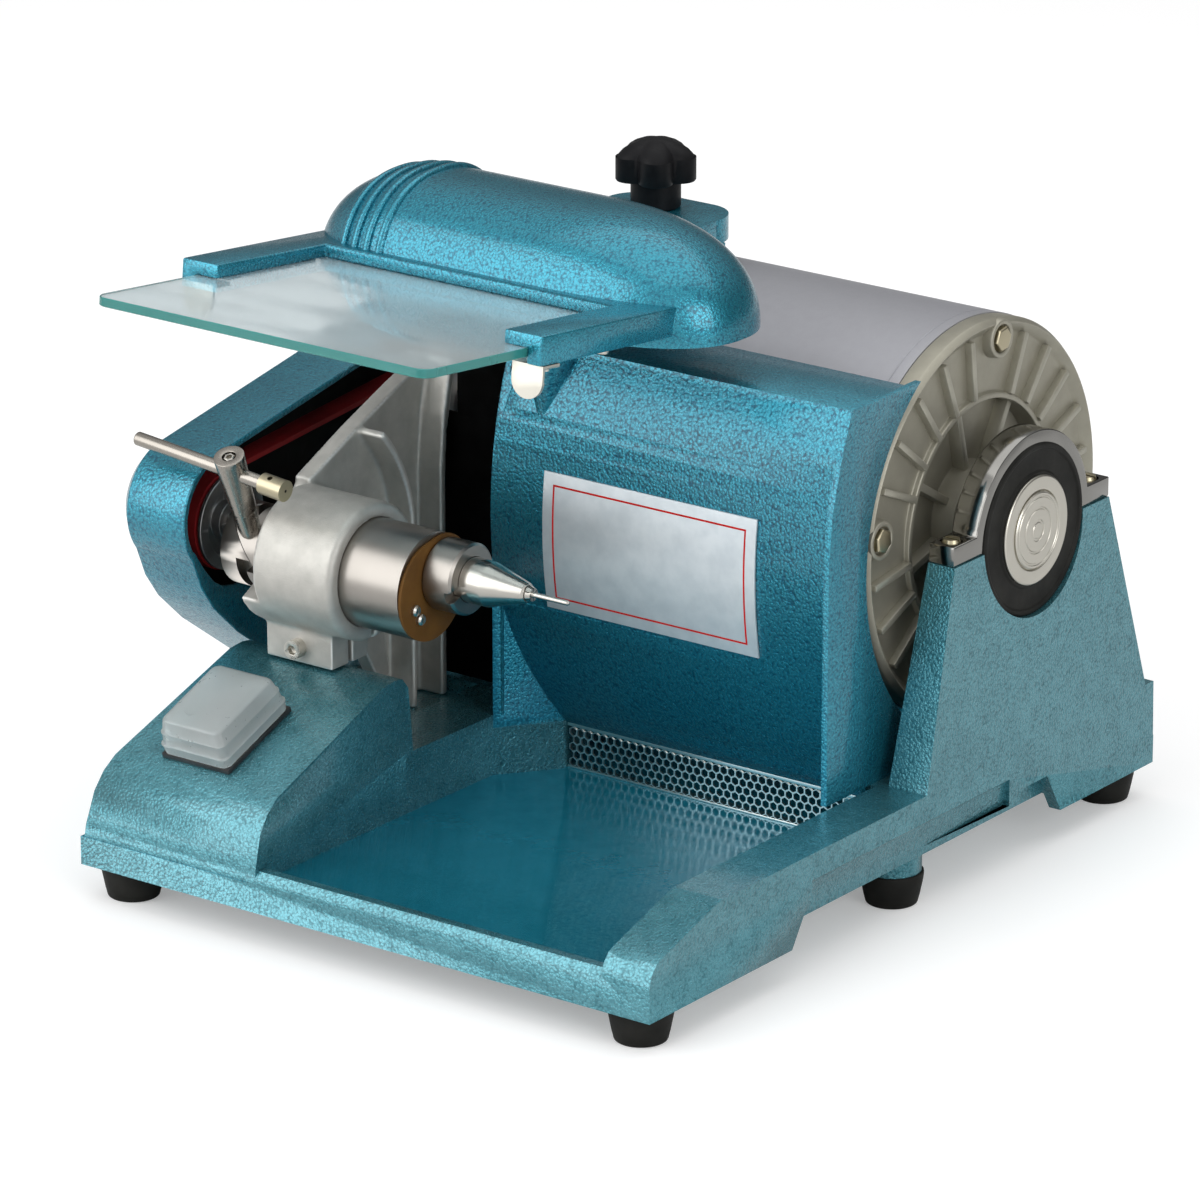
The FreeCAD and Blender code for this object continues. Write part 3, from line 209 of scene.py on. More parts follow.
def new_group(
    name: str, numbers: dict[str, float], outputs: list[str]
) -> tuple[bpy.types.NodeTree, NodeSheet, dict, dict]:
    """Makes an empty shader group with a Vector input and named numbers.

    Args:
        name: the group's name.
        numbers: its float inputs and their defaults.
        outputs: its float outputs.

    Returns:
        The tree, its sheet, its input sockets and its output sockets by name.
    """
    tree = bpy.data.node_groups.new(name, "ShaderNodeTree")
    tree.interface.new_socket("Vector", in_out="INPUT", socket_type="NodeSocketVector")
    for key, value in numbers.items():
        tree.interface.new_socket(key, in_out="INPUT", socket_type="NodeSocketFloat").default_value = value
    for key in outputs:
        tree.interface.new_socket(key, in_out="OUTPUT", socket_type="NodeSocketFloat")
    sheet = NodeSheet(tree)
    entry = sheet.add("NodeGroupInput")
    leave = sheet.add("NodeGroupOutput")
    return tree, sheet, {s.name: s for s in entry.outputs}, {s.name: s for s in leave.inputs}


def hammertone_group() -> bpy.types.NodeTree:
    """Builds the dimpled skin of hammertone paint.

    Returns:
        A group that gives a height, a fleck mask that lightens the bump tops as partly painted highlight, and
        a broad tone.
    """
    tree, s, i, o = new_group("hammertone", {"Cell": 1.6}, ["Height", "FleckHighlight", "Tone"])
    place = s.scaled(i["Vector"], s.math("DIVIDE", 1000.0, i["Cell"]))
    drift = s.add("ShaderNodeTexNoise")
    s.link(place, drift.inputs["Vector"])
    drift.inputs["Scale"].default_value = 1.1
    strayed = s.add("ShaderNodeVectorMath", operation="ADD")
    s.link(place, strayed.inputs[0])
    s.link(s.scaled(drift.outputs["Color"], 0.9), strayed.inputs[1])
    cells = s.add("ShaderNodeTexVoronoi", feature="F1")
    s.link(strayed.outputs[0], cells.inputs["Vector"])
    cells.inputs["Scale"].default_value = 1.0
    away = cells.outputs["Distance"]
    pebble = s.math("SUBTRACT", 1.0, s.math("MULTIPLY", away, away), clamp=True)
    fine = s.noise(place, 3.2, 1.0, 0.5)
    s.link(s.math("ADD", s.math("MULTIPLY", pebble, 0.8), s.math("MULTIPLY", fine, 0.2)), o["Height"])
    # The lighter colour goes on the raised bump tops: partly the paint's own fleck, partly painted highlight.
    s.link(s.ramp(s.math("ADD", pebble, s.math("MULTIPLY", fine, 0.7)), 0.62, 1.42), o["FleckHighlight"])
    s.link(s.noise(i["Vector"], 14.0, 2.0), o["Tone"])
    return tree


def wear_group() -> bpy.types.NodeTree:
    """Builds a mask of bare or rubbed edges, and a mask of the corners and creases for painted shade.

    Returns:
        A group that gives an edge mask and a corner mask.
    """
    tree, s, i, o = new_group("edge_wear", {"Amount": 1.0, "Breakup": 120.0}, ["Edge", "Corner"])
    geometry = s.add("ShaderNodeNewGeometry")
    broken = s.add("ShaderNodeTexNoise")
    s.link(i["Vector"], broken.inputs["Vector"])
    s.link(i["Breakup"], broken.inputs["Scale"])
    broken.inputs["Detail"].default_value = 4.0
    patchy = s.ramp(broken.outputs[0], 0.35, 0.65, 0.45, 1.0)
    edge = s.ramp(geometry.outputs["Pointiness"], 0.52, 0.60)
    # Low pointiness marks corners and creases, which the finishes darken as painted shade.
    corner = s.ramp(geometry.outputs["Pointiness"], 0.49, 0.43)
    s.link(s.math("MULTIPLY", s.math("MULTIPLY", edge, patchy), i["Amount"], clamp=True), o["Edge"])
    s.link(s.math("MULTIPLY", corner, patchy), o["Corner"])
    return tree


def grain_group() -> bpy.types.NodeTree:
    """Builds a grain of three stretched noises.

    Returns:
        A group that gives a height and a broad tone.
    """
    tree, s, i, o = new_group("grain", {"Scale": 800.0}, ["Height", "Tone"])
    place = s.scaled(i["Vector"], i["Scale"])
    fine = s.noise(place, 1.0, 4.0, 0.6)
    coarse = s.noise(place, 0.22, 2.0)
    s.link(s.math("ADD", s.math("MULTIPLY", fine, 0.6), s.math("MULTIPLY", coarse, 0.4)), o["Height"])
    s.link(s.noise(place, 0.06, 3.0), o["Tone"])
    return tree


class SharedEffects:
    """The shader groups, each built once."""

    def __init__(self) -> None:
        """Builds every group."""
        self.hammertone = hammertone_group()
        self.wear = wear_group()
        self.grain = grain_group()


@dataclass(frozen=True)
class Finish:
    """What every finish has: a name and a record slot.

    Attributes:
        name: the material's name.
        slot: the record's material slot.
    """

    name: str
    slot: str

    def material(self, shared: SharedEffects) -> bpy.types.Material:
        """Gives the material, built at its first use.

        Args:
            shared: the shader groups.

        Returns:
            The material.
        """
        title = self.name + "_look"
        known = bpy.data.materials.get(title)
        if known:
            return known
        made = bpy.data.materials.new(title)
        made.use_nodes = True
        sheet = NodeSheet(made.node_tree)
        shader = made.node_tree.nodes["Principled BSDF"]
        place = sheet.add("ShaderNodeTexCoord").outputs["Object"]
        self.fill(sheet, shader, place, shared)
        return made

    def fill(
        self, s: NodeSheet, shader: bpy.types.Node, place: bpy.types.NodeSocket, shared: SharedEffects
    ) -> None:
        """Fills the material's nodes; each finish has its own way."""
        raise NotImplementedError

    @staticmethod
    def group(
        s: NodeSheet, tree: bpy.types.NodeTree, place: bpy.types.NodeSocket, **numbers: float
    ) -> bpy.types.Node:
        """Places a shared group.

        Args:
            s: the material's sheet.
            tree: the group.
            place: the vector it reads.
            numbers: its other inputs.

        Returns:
            The group node.
        """
        node = s.add("ShaderNodeGroup", node_tree=tree)
        s.link(place, node.inputs["Vector"])
        for key, value in numbers.items():
            node.inputs[key].default_value = value
        return node

    @staticmethod
    def bump(s: NodeSheet, shader: bpy.types.Node, height: bpy.types.NodeSocket, depth_mm: float) -> None:
        """Feeds a height in millimetres to the shader's normal."""
        node = s.add("ShaderNodeBump")
        node.inputs["Strength"].default_value = 1.0
        node.inputs["Distance"].default_value = depth_mm * MM
        s.link(height, node.inputs["Height"])
        s.link(node.outputs[0], shader.inputs["Normal"])


@dataclass(frozen=True)
class HammerPaint(Finish):
    """Hammertone paint.

    Attributes:
        deep: colour between the bumps, partly painted shade.
        light: colour of the flecks on the bump tops, partly painted highlight.
        cell: size of a dimple in mm.
        depth: height of a dimple in mm.
        rough: gloss of the skin.
        metal: share of metal flake.
        coat: weight of the clear coat.
    """

    deep: tuple = (0.004, 0.125, 0.190, 1.0)
    light: tuple = (0.075, 0.330, 0.420, 1.0)
    cell: float = 1.7
    depth: float = 0.13
    rough: float = 0.30
    metal: float = 0.70
    coat: float = 0.22

    def fill(
        self, s: NodeSheet, shader: bpy.types.Node, place: bpy.types.NodeSocket, shared: SharedEffects
    ) -> None:
        """Mixes two paints by the dimples, lighter on the bump tops and darker between them as partly painted
        highlight and shade, with rubbed edges.
        """
        skin = self.group(s, shared.hammertone, place, Cell=self.cell)
        wear = self.group(s, shared.wear, place, Amount=0.35)
        # Bump tops get the light colour and dimples the deep one: partly the paint's fleck, partly painted
        # highlight and painted shade.
        paint = s.blend(skin.outputs["FleckHighlight"], self.deep, self.light)
        dull = tuple(c * 0.80 for c in self.deep[:3]) + (1.0,)
        toned = s.blend(s.ramp(skin.outputs["Tone"], 0.40, 0.75, 0.0, 0.25), paint, dull)
        bare = tuple(min(1.0, c * 1.5 + 0.04) for c in self.light[:3]) + (1.0,)
        s.link(s.blend(wear.outputs["Edge"], toned, bare), shader.inputs["Base Color"])
        s.link(
            s.ramp(skin.outputs["FleckHighlight"], 0.0, 1.0, self.rough + 0.08, self.rough - 0.06),
            shader.inputs["Roughness"]
        )
        shader.inputs["Metallic"].default_value = self.metal
        shader.inputs["Coat Weight"].default_value = self.coat
        shader.inputs["Coat Roughness"].default_value = 0.17
        self.bump(s, shader, skin.outputs["Height"], self.depth)


@dataclass(frozen=True)
class CastMetal(Finish):
    """Rough cast metal or satin paint over it.

    Attributes:
        face: colour of the flat faces.
        edge: colour of rubbed edges.
        metal: metallic share.
        rough: roughness.
        grain: grain size in features per metre.
        depth: grain height in mm.
        wear: strength of the rubbed edges.
        mottle: strength of the broad patches.
    """

    face: tuple = (0.52, 0.52, 0.50, 1.0)
    edge: tuple = (0.86, 0.86, 0.85, 1.0)
    metal: float = 0.9
    rough: float = 0.44
    grain: float = 900.0
    depth: float = 0.10
    wear: float = 1.0
    mottle: float = 0.7

    def fill(
        self, s: NodeSheet, shader: bpy.types.Node, place: bpy.types.NodeSocket, shared: SharedEffects
    ) -> None:
        """Grains the face, brightens the edges and darkens the corners as painted shade."""
        grain = self.group(s, shared.grain, place, Scale=self.grain)
        wear = self.group(s, shared.wear, place, Amount=self.wear)
        dull = tuple(c * 0.72 for c in self.face[:3]) + (1.0,)
        face = s.blend(s.ramp(grain.outputs["Tone"], 0.35, 0.70, 0.0, self.mottle), self.face, dull)
        # Painted shade: corners and creases darken to four tenths of the face colour.
        corners_shaded = s.blend(
            s.math("MULTIPLY", wear.outputs["Corner"], 0.5), face,
            tuple(c * 0.4 for c in self.face[:3]) + (1.0,)
        )
        s.link(s.blend(wear.outputs["Edge"], corners_shaded, self.edge), shader.inputs["Base Color"])
        s.link(
            s.ramp(grain.outputs["Height"], 0.3, 0.7, self.rough + 0.08, self.rough - 0.06),
            shader.inputs["Roughness"]
        )
        shader.inputs["Metallic"].default_value = self.metal
        self.bump(s, shader, grain.outputs["Height"], self.depth)


@dataclass(frozen=True)
class TurnedMetal(Finish):
    """Metal turned in a lathe, with rings across one axis.

    Attributes:
        colour: base colour.
        rough: roughness.
        rings: how far the grain is squeezed along X, Y and Z.
        depth: ring height in mm.
    """

    colour: tuple = (0.66, 0.63, 0.58, 1.0)
    rough: float = 0.24
    rings: tuple = (5200.0, 30.0, 30.0)
    depth: float = 0.0004

    def fill(
        self, s: NodeSheet, shader: bpy.types.Node, place: bpy.types.NodeSocket, shared: SharedEffects
    ) -> None:
        """Squeezes the grain into tool marks."""
        marks = self.group(s, shared.grain, s.scaled(place, self.rings), Scale=1.0)
        stain = self.group(s, shared.grain, place, Scale=300.0)
        dull = tuple(c * 0.80 for c in self.colour[:3]) + (1.0,)
        s.link(
            s.blend(s.ramp(stain.outputs["Tone"], 0.45, 0.75, 0.0, 0.6), self.colour, dull),
            shader.inputs["Base Color"]
        )
        s.link(
            s.ramp(marks.outputs["Height"], 0.3, 0.7, self.rough - 0.02, self.rough + 0.03),
            shader.inputs["Roughness"]
        )
        shader.inputs["Metallic"].default_value = 1.0
        self.bump(s, shader, marks.outputs["Height"], self.depth)


@dataclass(frozen=True)
class Moulding(Finish):
    """Plastic, rubber or board.

    Attributes:
        colour: base colour.
        second: colour of the variation.
        rough: roughness.
        grain: features per metre.
        depth: grain height in mm.
        coat: clear coat weight.
        passing: share of light that passes through.
        shine: level of the mirror reflection.
    """

    colour: tuple = (0.015, 0.015, 0.016, 1.0)
    second: tuple = (0.035, 0.035, 0.037, 1.0)
    rough: float = 0.5
    grain: float = 1500.0
    depth: float = 0.03
    coat: float = 0.0
    passing: float = 0.0
    shine: float = 0.5

    def fill(
        self, s: NodeSheet, shader: bpy.types.Node, place: bpy.types.NodeSocket, shared: SharedEffects
    ) -> None:
        """Varies the colour and the gloss with the grain."""
        grain = self.group(s, shared.grain, place, Scale=self.grain)
        s.link(
            s.blend(s.ramp(grain.outputs["Tone"], 0.35, 0.70), self.colour, self.second),
            shader.inputs["Base Color"]
        )
        s.link(
            s.ramp(grain.outputs["Height"], 0.3, 0.7, self.rough - 0.05, self.rough + 0.08),
            shader.inputs["Roughness"]
        )
        shader.inputs["Coat Weight"].default_value = self.coat
        shader.inputs["Specular IOR Level"].default_value = self.shine
        shader.inputs["Transmission Weight"].default_value = self.passing
        shader.inputs["IOR"].default_value = 1.41
        self.bump(s, shader, grain.outputs["Height"], self.depth)


@dataclass(frozen=True)
class ClearGlass(Finish):
    """Clear plate glass, or its green edge.

    Attributes:
        colour: tint.
        rough: roughness.
        passing: share of light that passes through.
    """

    colour: tuple = (0.84, 0.93, 0.95, 1.0)
    rough: float = 0.03
    passing: float = 0.76

    def fill(
        self, s: NodeSheet, shader: bpy.types.Node, place: bpy.types.NodeSocket, shared: SharedEffects
    ) -> None:
        """Lets light through, with a few smears."""
        smear = s.noise(s.scaled(place, (14.0, 60.0, 14.0)), 1.0, 3.0)
        shader.inputs["Base Color"].default_value = self.colour
        s.link(s.ramp(smear, 0.45, 0.75, self.rough, self.rough + 0.10), shader.inputs["Roughness"])
        shader.inputs["Transmission Weight"].default_value = self.passing
        shader.inputs["IOR"].default_value = 1.50


PAINT = HammerPaint(
    "hammer_paint_upper", "blue_paint", deep=(0.0, 0.098, 0.168, 1.0), light=(0.030, 0.300, 0.400, 1.0),
    cell=1.3, depth=0.36, rough=0.31, coat=0.6
)
# Lighter and whiter than the guard paint: partly the base's own greener tone, partly painted light on its lit
# front.
BASE_PAINT = HammerPaint(
    "hammer_paint_base", "blue_paint", deep=(0.0, 0.095, 0.125, 1.0), light=(0.080, 0.270, 0.320, 1.0),
    cell=1.3, depth=0.32, coat=0.6
)
TRAY_PAINT = HammerPaint(
    "hammer_paint_tray", "blue_paint", deep=(0.0, 0.185, 0.280, 1.0), light=(0.0, 0.215, 0.310, 1.0),
    cell=2.2, depth=0.014, rough=0.13, metal=0.35, coat=0.0
)
HOOD_PAINT = HammerPaint(
    "hammer_paint_hood", "blue_paint", deep=(0.0, 0.105, 0.170, 1.0), light=(0.020, 0.290, 0.390, 1.0),
    cell=1.2, depth=0.22, rough=0.27, coat=0.6
)
MOTOR_PAINT = CastMetal(
    "motor_shell_satin", "motor_paint", face=(0.350, 0.352, 0.380, 1.0), edge=(0.42, 0.42, 0.43, 1.0),
    metal=0.40, rough=0.42, grain=3200.0, depth=0.010, wear=0.3, mottle=0.12
)
SHIELD_CAST = CastMetal(
    "end_shield_cast", "cast_shield", face=(0.345, 0.330, 0.270, 1.0), edge=(0.50, 0.49, 0.42, 1.0),
    metal=0.55, rough=0.40, grain=1500.0, depth=0.04, wear=0.6, mottle=0.4
)
# Its bright edges are partly rubbed metal and partly painted highlight along the web and clamp edges.
BRACKET_CAST = CastMetal(
    "bracket_cast", "cast_alu", face=(0.50, 0.49, 0.455, 1.0), edge=(0.90, 0.90, 0.88, 1.0), metal=0.5,
    rough=0.40, grain=2000.0, depth=0.20, wear=1.9, mottle=0.6
)
PULLEY_CAST = CastMetal(
    "pulley_cast", "cast_alu", face=(0.40, 0.40, 0.40, 1.0), rough=0.34, grain=1500.0, depth=0.03
)
STEEL = TurnedMetal("turned_steel", "steel", colour=(0.33, 0.31, 0.285, 1.0), rough=0.30)
STEEL_UPRIGHT = TurnedMetal(
    "drawn_steel", "steel", rings=(1800.0, 1800.0, 1400.0), rough=0.26, colour=(0.36, 0.335, 0.30, 1.0),
    depth=0.0003
)
CHROME = TurnedMetal(
    "bright_chrome", "chrome", colour=(0.27, 0.265, 0.25, 1.0), rough=0.12, rings=(400.0, 90.0, 90.0),
    depth=0.002
)
NOSE_STEEL = TurnedMetal("polished_nose", "chrome", colour=(0.50, 0.48, 0.44, 1.0), rough=0.22)
ZINC = TurnedMetal(
    "zinc_screw", "screw_steel", colour=(0.60, 0.58, 0.53, 1.0), rough=0.28, rings=(900.0, 900.0, 900.0)
)
BRASSY = TurnedMetal(
    "yellow_zinc", "brassy", colour=(0.48, 0.43, 0.30, 1.0), rough=0.32, rings=(900.0, 900.0, 900.0)
)
SILVER = TurnedMetal(
    "satin_disc", "silver_disc", colour=(0.56, 0.54, 0.48, 1.0), rough=0.30, rings=(600.0, 600.0, 600.0)
)
SCREEN_WIRE = TurnedMetal(
    "screen_wire", "silver_disc", colour=(0.70, 0.72, 0.70, 1.0), rough=0.30, rings=(900.0, 900.0, 900.0)
)
PLATE = CastMetal(
    "label_foil", "plate_silver", face=(0.50, 0.56, 0.60, 1.0), edge=(0.8, 0.84, 0.86, 1.0), metal=0.45,
    rough=0.34, grain=330.0, depth=0.06, wear=0.5, mottle=0.25
)
RED_INK = Moulding(
    "red_rule_ink", "red_plastic", colour=(0.55, 0.008, 0.008, 1.0), second=(0.45, 0.008, 0.008, 1.0),
    rough=0.6, shine=0.1
)
BLACK_RUBBER = Moulding(
    "black_rubber", "black_rubber", colour=(0.012, 0.012, 0.011, 1.0), second=(0.020, 0.020, 0.018, 1.0),
    rough=0.5, depth=0.04, shine=0.14
)
# A flat black that paints the shade in the gap past the guard's left edge.
SHADE_BLACK = Moulding(
    "painted_shade_plate", "black_rubber", colour=(0.002, 0.002, 0.002, 1.0), second=(0.004, 0.004, 0.004, 1.0),
    rough=0.8, shine=0.03
)
BLACK_PLASTIC = Moulding("black_plastic", "black_plastic", rough=0.38)
KNOB_PLASTIC = Moulding(
    "knob_plastic", "knob_black", colour=(0.007, 0.007, 0.008, 1.0), second=(0.011, 0.011, 0.012, 1.0),
    rough=0.42, grain=2600.0, depth=0.02, shine=0.14
)
BELT_RED = Moulding(
    "red_belt", "red_belt", colour=(0.30, 0.010, 0.012, 1.0), second=(0.20, 0.008, 0.010, 1.0), rough=0.62,
    grain=700.0, depth=0.08
)
RED_PLASTIC = Moulding(
    "red_plastic", "red_plastic", colour=(0.60, 0.012, 0.010, 1.0), second=(0.50, 0.010, 0.010, 1.0),
    rough=0.28, coat=0.3
)
BOARD = Moulding(
    "brown_board", "brown_board", colour=(0.140, 0.066, 0.016, 1.0), second=(0.085, 0.040, 0.012, 1.0),
    rough=0.60, grain=900.0, depth=0.03, shine=0.15
)
SILICONE = Moulding(
    "clear_silicone", "silicone", colour=(0.80, 0.85, 0.85, 1.0), second=(0.72, 0.78, 0.78, 1.0),
    rough=0.30, grain=500.0, depth=0.015, passing=0.72
)
LAMP_WHITE = Moulding(
    "lamp_tube", "lamp_white", colour=(0.86, 0.86, 0.82, 1.0), second=(0.80, 0.80, 0.76, 1.0), rough=0.30
)
IRON = CastMetal("stacked_iron", "iron_core", face=(0.08, 0.08, 0.09, 1.0), metal=0.7, rough=0.5)
GLASS = ClearGlass("shield_glass", "glass")
GLASS_EDGE = ClearGlass(
    "shield_glass_edge", "glass", colour=(0.03, 0.30, 0.27, 1.0), rough=0.20, passing=0.50
)


# Mesh work. Everything is drawn in millimetres from the base's front left corner.


Profile = list[tuple[float, float]]


def eased(profile: Profile, radius: float, closed: bool = False) -> Profile:
    """Rounds the corners of a profile.

    Args:
        profile: points in the plane.
        radius: how far from a corner the rounding starts, in mm.
        closed: whether the last point joins the first.

    Returns:
        The longer profile.
    """
    points = [Vector(p) for p in profile]
    count = len(points)
    result = []
    for k, here in enumerate(points):
        if not closed and k in (0, count - 1):
            result.append(tuple(here))
            continue
        before = points[k - 1] - here
        after = points[(k + 1) % count] - here
        cut = min(radius, before.length * 0.45, after.length * 0.45)
        start = here + before.normalized() * cut
        end = here + after.normalized() * cut
        for t in (0.0, 1 / 3, 2 / 3, 1.0):
            spot = start * (1 - t) ** 2 + here * 2 * t * (1 - t) + end * t * t
            result.append(tuple(spot))
    return result


def revolve(
    origin: Vector, axis: Vector, profile: Profile, steps: int = 96, closed: bool = False
) -> bmesh.types.BMesh:
    """Turns a profile about an axis.

    Args:
        origin: a point on the axis.
        axis: its direction.
        profile: pairs of distance along the axis and radius.
        steps: faces round the axis.
        closed: whether the profile is a loop, as for a ring.

    Returns:
        The turned mesh.
    """
    bm = bmesh.new()
    along = axis.normalized()
    side = along.orthogonal().normalized()
    up = along.cross(side)
    rings = []
    for distance, radius in profile:
        centre = origin + along * distance
        if radius < 1e-4:
            rings.append([bm.verts.new(centre)])
            continue
        turns = [2 * math.pi * k / steps for k in range(steps)]
        rings.append([bm.verts.new(centre + (side * math.cos(a) + up * math.sin(a)) * radius) for a in turns])
    pairs = list(zip(rings[:-1], rings[1:]))
    if closed:
        pairs.append((rings[-1], rings[0]))
    for low, high in pairs:
        for k in range(steps):
            n = (k + 1) % steps
            corners = [low[k % len(low)], low[n % len(low)], high[n % len(high)], high[k % len(high)]]
            unique = list(dict.fromkeys(corners))
            if len(unique) > 2:
                bm.faces.new(unique)
    bmesh.ops.recalc_face_normals(bm, faces=bm.faces)
    return bm


def prism(outline: list[Vector], reach: Vector) -> bmesh.types.BMesh:
    """Draws out a flat outline.

    Args:
        outline: its corners in order.
        reach: the vector from one end to the other.

    Returns:
        The prism.
    """
    bm = bmesh.new()
    low = [bm.verts.new(p) for p in outline]
    high = [bm.verts.new(p + reach) for p in outline]
    bm.faces.new(low)
    bm.faces.new(high)
    for k in range(len(low)):
        n = (k + 1) % len(low)
        bm.faces.new((low[k], low[n], high[n], high[k]))
    bmesh.ops.recalc_face_normals(bm, faces=bm.faces)
    return bm


def stacked(rings: list[list[Vector]], capped: bool = True) -> bmesh.types.BMesh:
    """Joins rings that have the same number of points.

    Args:
        rings: closed rings in order.
        capped: whether both ends get a face.

    Returns:
        The skin through the rings.
    """
    bm = bmesh.new()
    rows = [[bm.verts.new(p) for p in ring] for ring in rings]
    for low, high in zip(rows[:-1], rows[1:]):
        for k in range(len(low)):
            n = (k + 1) % len(low)
            bm.faces.new((low[k], low[n], high[n], high[k]))
    if capped:
        bm.faces.new(rows[0])
        bm.faces.new(rows[-1])
    bmesh.ops.recalc_face_normals(bm, faces=bm.faces)
    return bm


def block(low: Vector, high: Vector, ease: float = 0.4) -> bmesh.types.BMesh:
    """Makes a box with eased edges.

    Args:
        low: lowest corner.
        high: highest corner.
        ease: width of the easing in mm.

    Returns:
        The box.
    """
    corners = [
        Vector((low.x, low.y, low.z)), Vector((high.x, low.y, low.z)), Vector((high.x, high.y, low.z)),
        Vector((low.x, high.y, low.z))
    ]
    bm = prism(corners, Vector((0, 0, high.z - low.z)))
    ease_edges(bm, ease, 0.5)
    return bm


def ease_edges(
    bm: bmesh.types.BMesh, width: float, shortest: float, angle: float = 40.0, segments: int = 2
) -> None:
    """Rounds the sharp edges that are long enough.

    Args:
        bm: the mesh.
        width: the rounding in mm.
        shortest: edges below this length stay sharp.
        angle: edges flatter than this, in degrees, stay.
        segments: faces across the rounding.
    """
    limit = math.radians(angle)
    folds = [e for e in bm.edges if len(e.link_faces) == 2 and e.calc_face_angle(0.0) > limit]
    edges = [e for e in folds if e.calc_length() > shortest]
    bmesh.ops.bevel(
        bm, geom=edges, offset=width, segments=segments, profile=0.5, affect="EDGES", clamp_overlap=True
    )


def joined(parts: list[bmesh.types.BMesh]) -> bmesh.types.BMesh:
    """Puts several meshes into the first.

    Args:
        parts: the meshes; all but the first are freed.

    Returns:
        The first mesh.
    """
    first = parts[0]
    for other in parts[1:]:
        holder = bpy.data.meshes.new("holder")
        other.to_mesh(holder)
        other.free()
        first.from_mesh(holder)
        bpy.data.meshes.remove(holder)
    return first


def cad_copy(node: str) -> bmesh.types.BMesh:
    """Copies a CAD node's mesh, merged and in millimetres.

    Args:
        node: the CAD node's name.

    Returns:
        The copy, with its flat faces made whole.
    """
    bm = bmesh.new()
    bm.from_mesh(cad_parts[node].data)
    bmesh.ops.remove_doubles(bm, verts=bm.verts, dist=2e-6)
    bm.transform(TO_FRAME.inverted())
    bmesh.ops.dissolve_limit(bm, angle_limit=math.radians(0.6), verts=bm.verts, edges=bm.edges)
    return bm


class Workshop:
    """Turns meshes into finished pieces of the machine."""

    def __init__(self) -> None:
        """Builds the shared shader groups."""
        self.shared = SharedEffects()
        self.count = 0

    def finish(
        self, name: str, bm: bmesh.types.BMesh, finish: Finish, body: Body, nodes: tuple[str, ...] = (),
        crease: float = 35.0
    ) -> bpy.types.Object:
        """Makes an object of a mesh, dresses it and puts it on its body.

        Args:
            name: the piece's name.
            bm: its mesh in millimetres; it is freed.
            finish: its finish.
            body: the body that carries it.
            nodes: the CAD nodes that it stands for.
            crease: edges sharper than this stay crisp.

        Returns:
            The finished object.
        """
        limit = math.radians(crease)
        for edge in bm.edges:
            edge.smooth = len(edge.link_faces) == 2 and edge.calc_face_angle(0.0) < limit
        for face in bm.faces:
            face.smooth = True
        bm.transform(TO_FRAME)
        mesh = bpy.data.meshes.new(name)
        bm.to_mesh(mesh)
        bm.free()
        return self.place(name, mesh, finish, body, nodes)

    def place(
        self, name: str, mesh: bpy.types.Mesh, finish: Finish, body: Body, nodes: tuple[str, ...] = ()
    ) -> bpy.types.Object:
        """Puts a mesh that is already in the frame onto its body.

        Args:
            name: the piece's name.
            mesh: the mesh, in metres.
            finish: its finish.
            body: the body that carries it.
            nodes: the CAD nodes that it stands for.

        Returns:
            The object.
        """
        piece = bpy.data.objects.new(name, mesh)
        bpy.context.scene.collection.objects.link(piece)
        if not mesh.materials:
            mesh.materials.append(finish.material(self.shared))
        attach(piece, body.value)
        if nodes:
            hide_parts(*nodes)
        self.count += 1
        LOG.info("%s on %s: %d faces", name, body.value, len(mesh.polygons))
        return piece

    def refine(
        self, node: str, finish: Finish, body: Body, ease: float = 0.4, shortest: float = 2.5,
        crease: float = 38.0
    ) -> bpy.types.Object:
        """Replaces a CAD node by a copy with rounded edges and smooth curves.

        Args:
            node: the CAD node.
            finish: its finish.
            body: its body.
            ease: rounding in mm.
            shortest: shorter edges stay sharp.
            crease: edges sharper than this stay crisp.

        Returns:
            The new piece.
        """
        bm = cad_copy(node)
        if ease > 0:
            ease_edges(bm, ease, shortest)
        return self.finish(node + "_skin", bm, finish, body, (node,), crease)

    def dress(self, node: str, finish: Finish) -> None:
        """Gives a CAD node its finish and leaves its mesh alone."""
        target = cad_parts[node]
        target.data.materials.clear()
        target.data.materials.append(finish.material(self.shared))
        LOG.info("%s dressed", node)


# Repeats, each a Geometry Nodes tree that is turned into a plain mesh


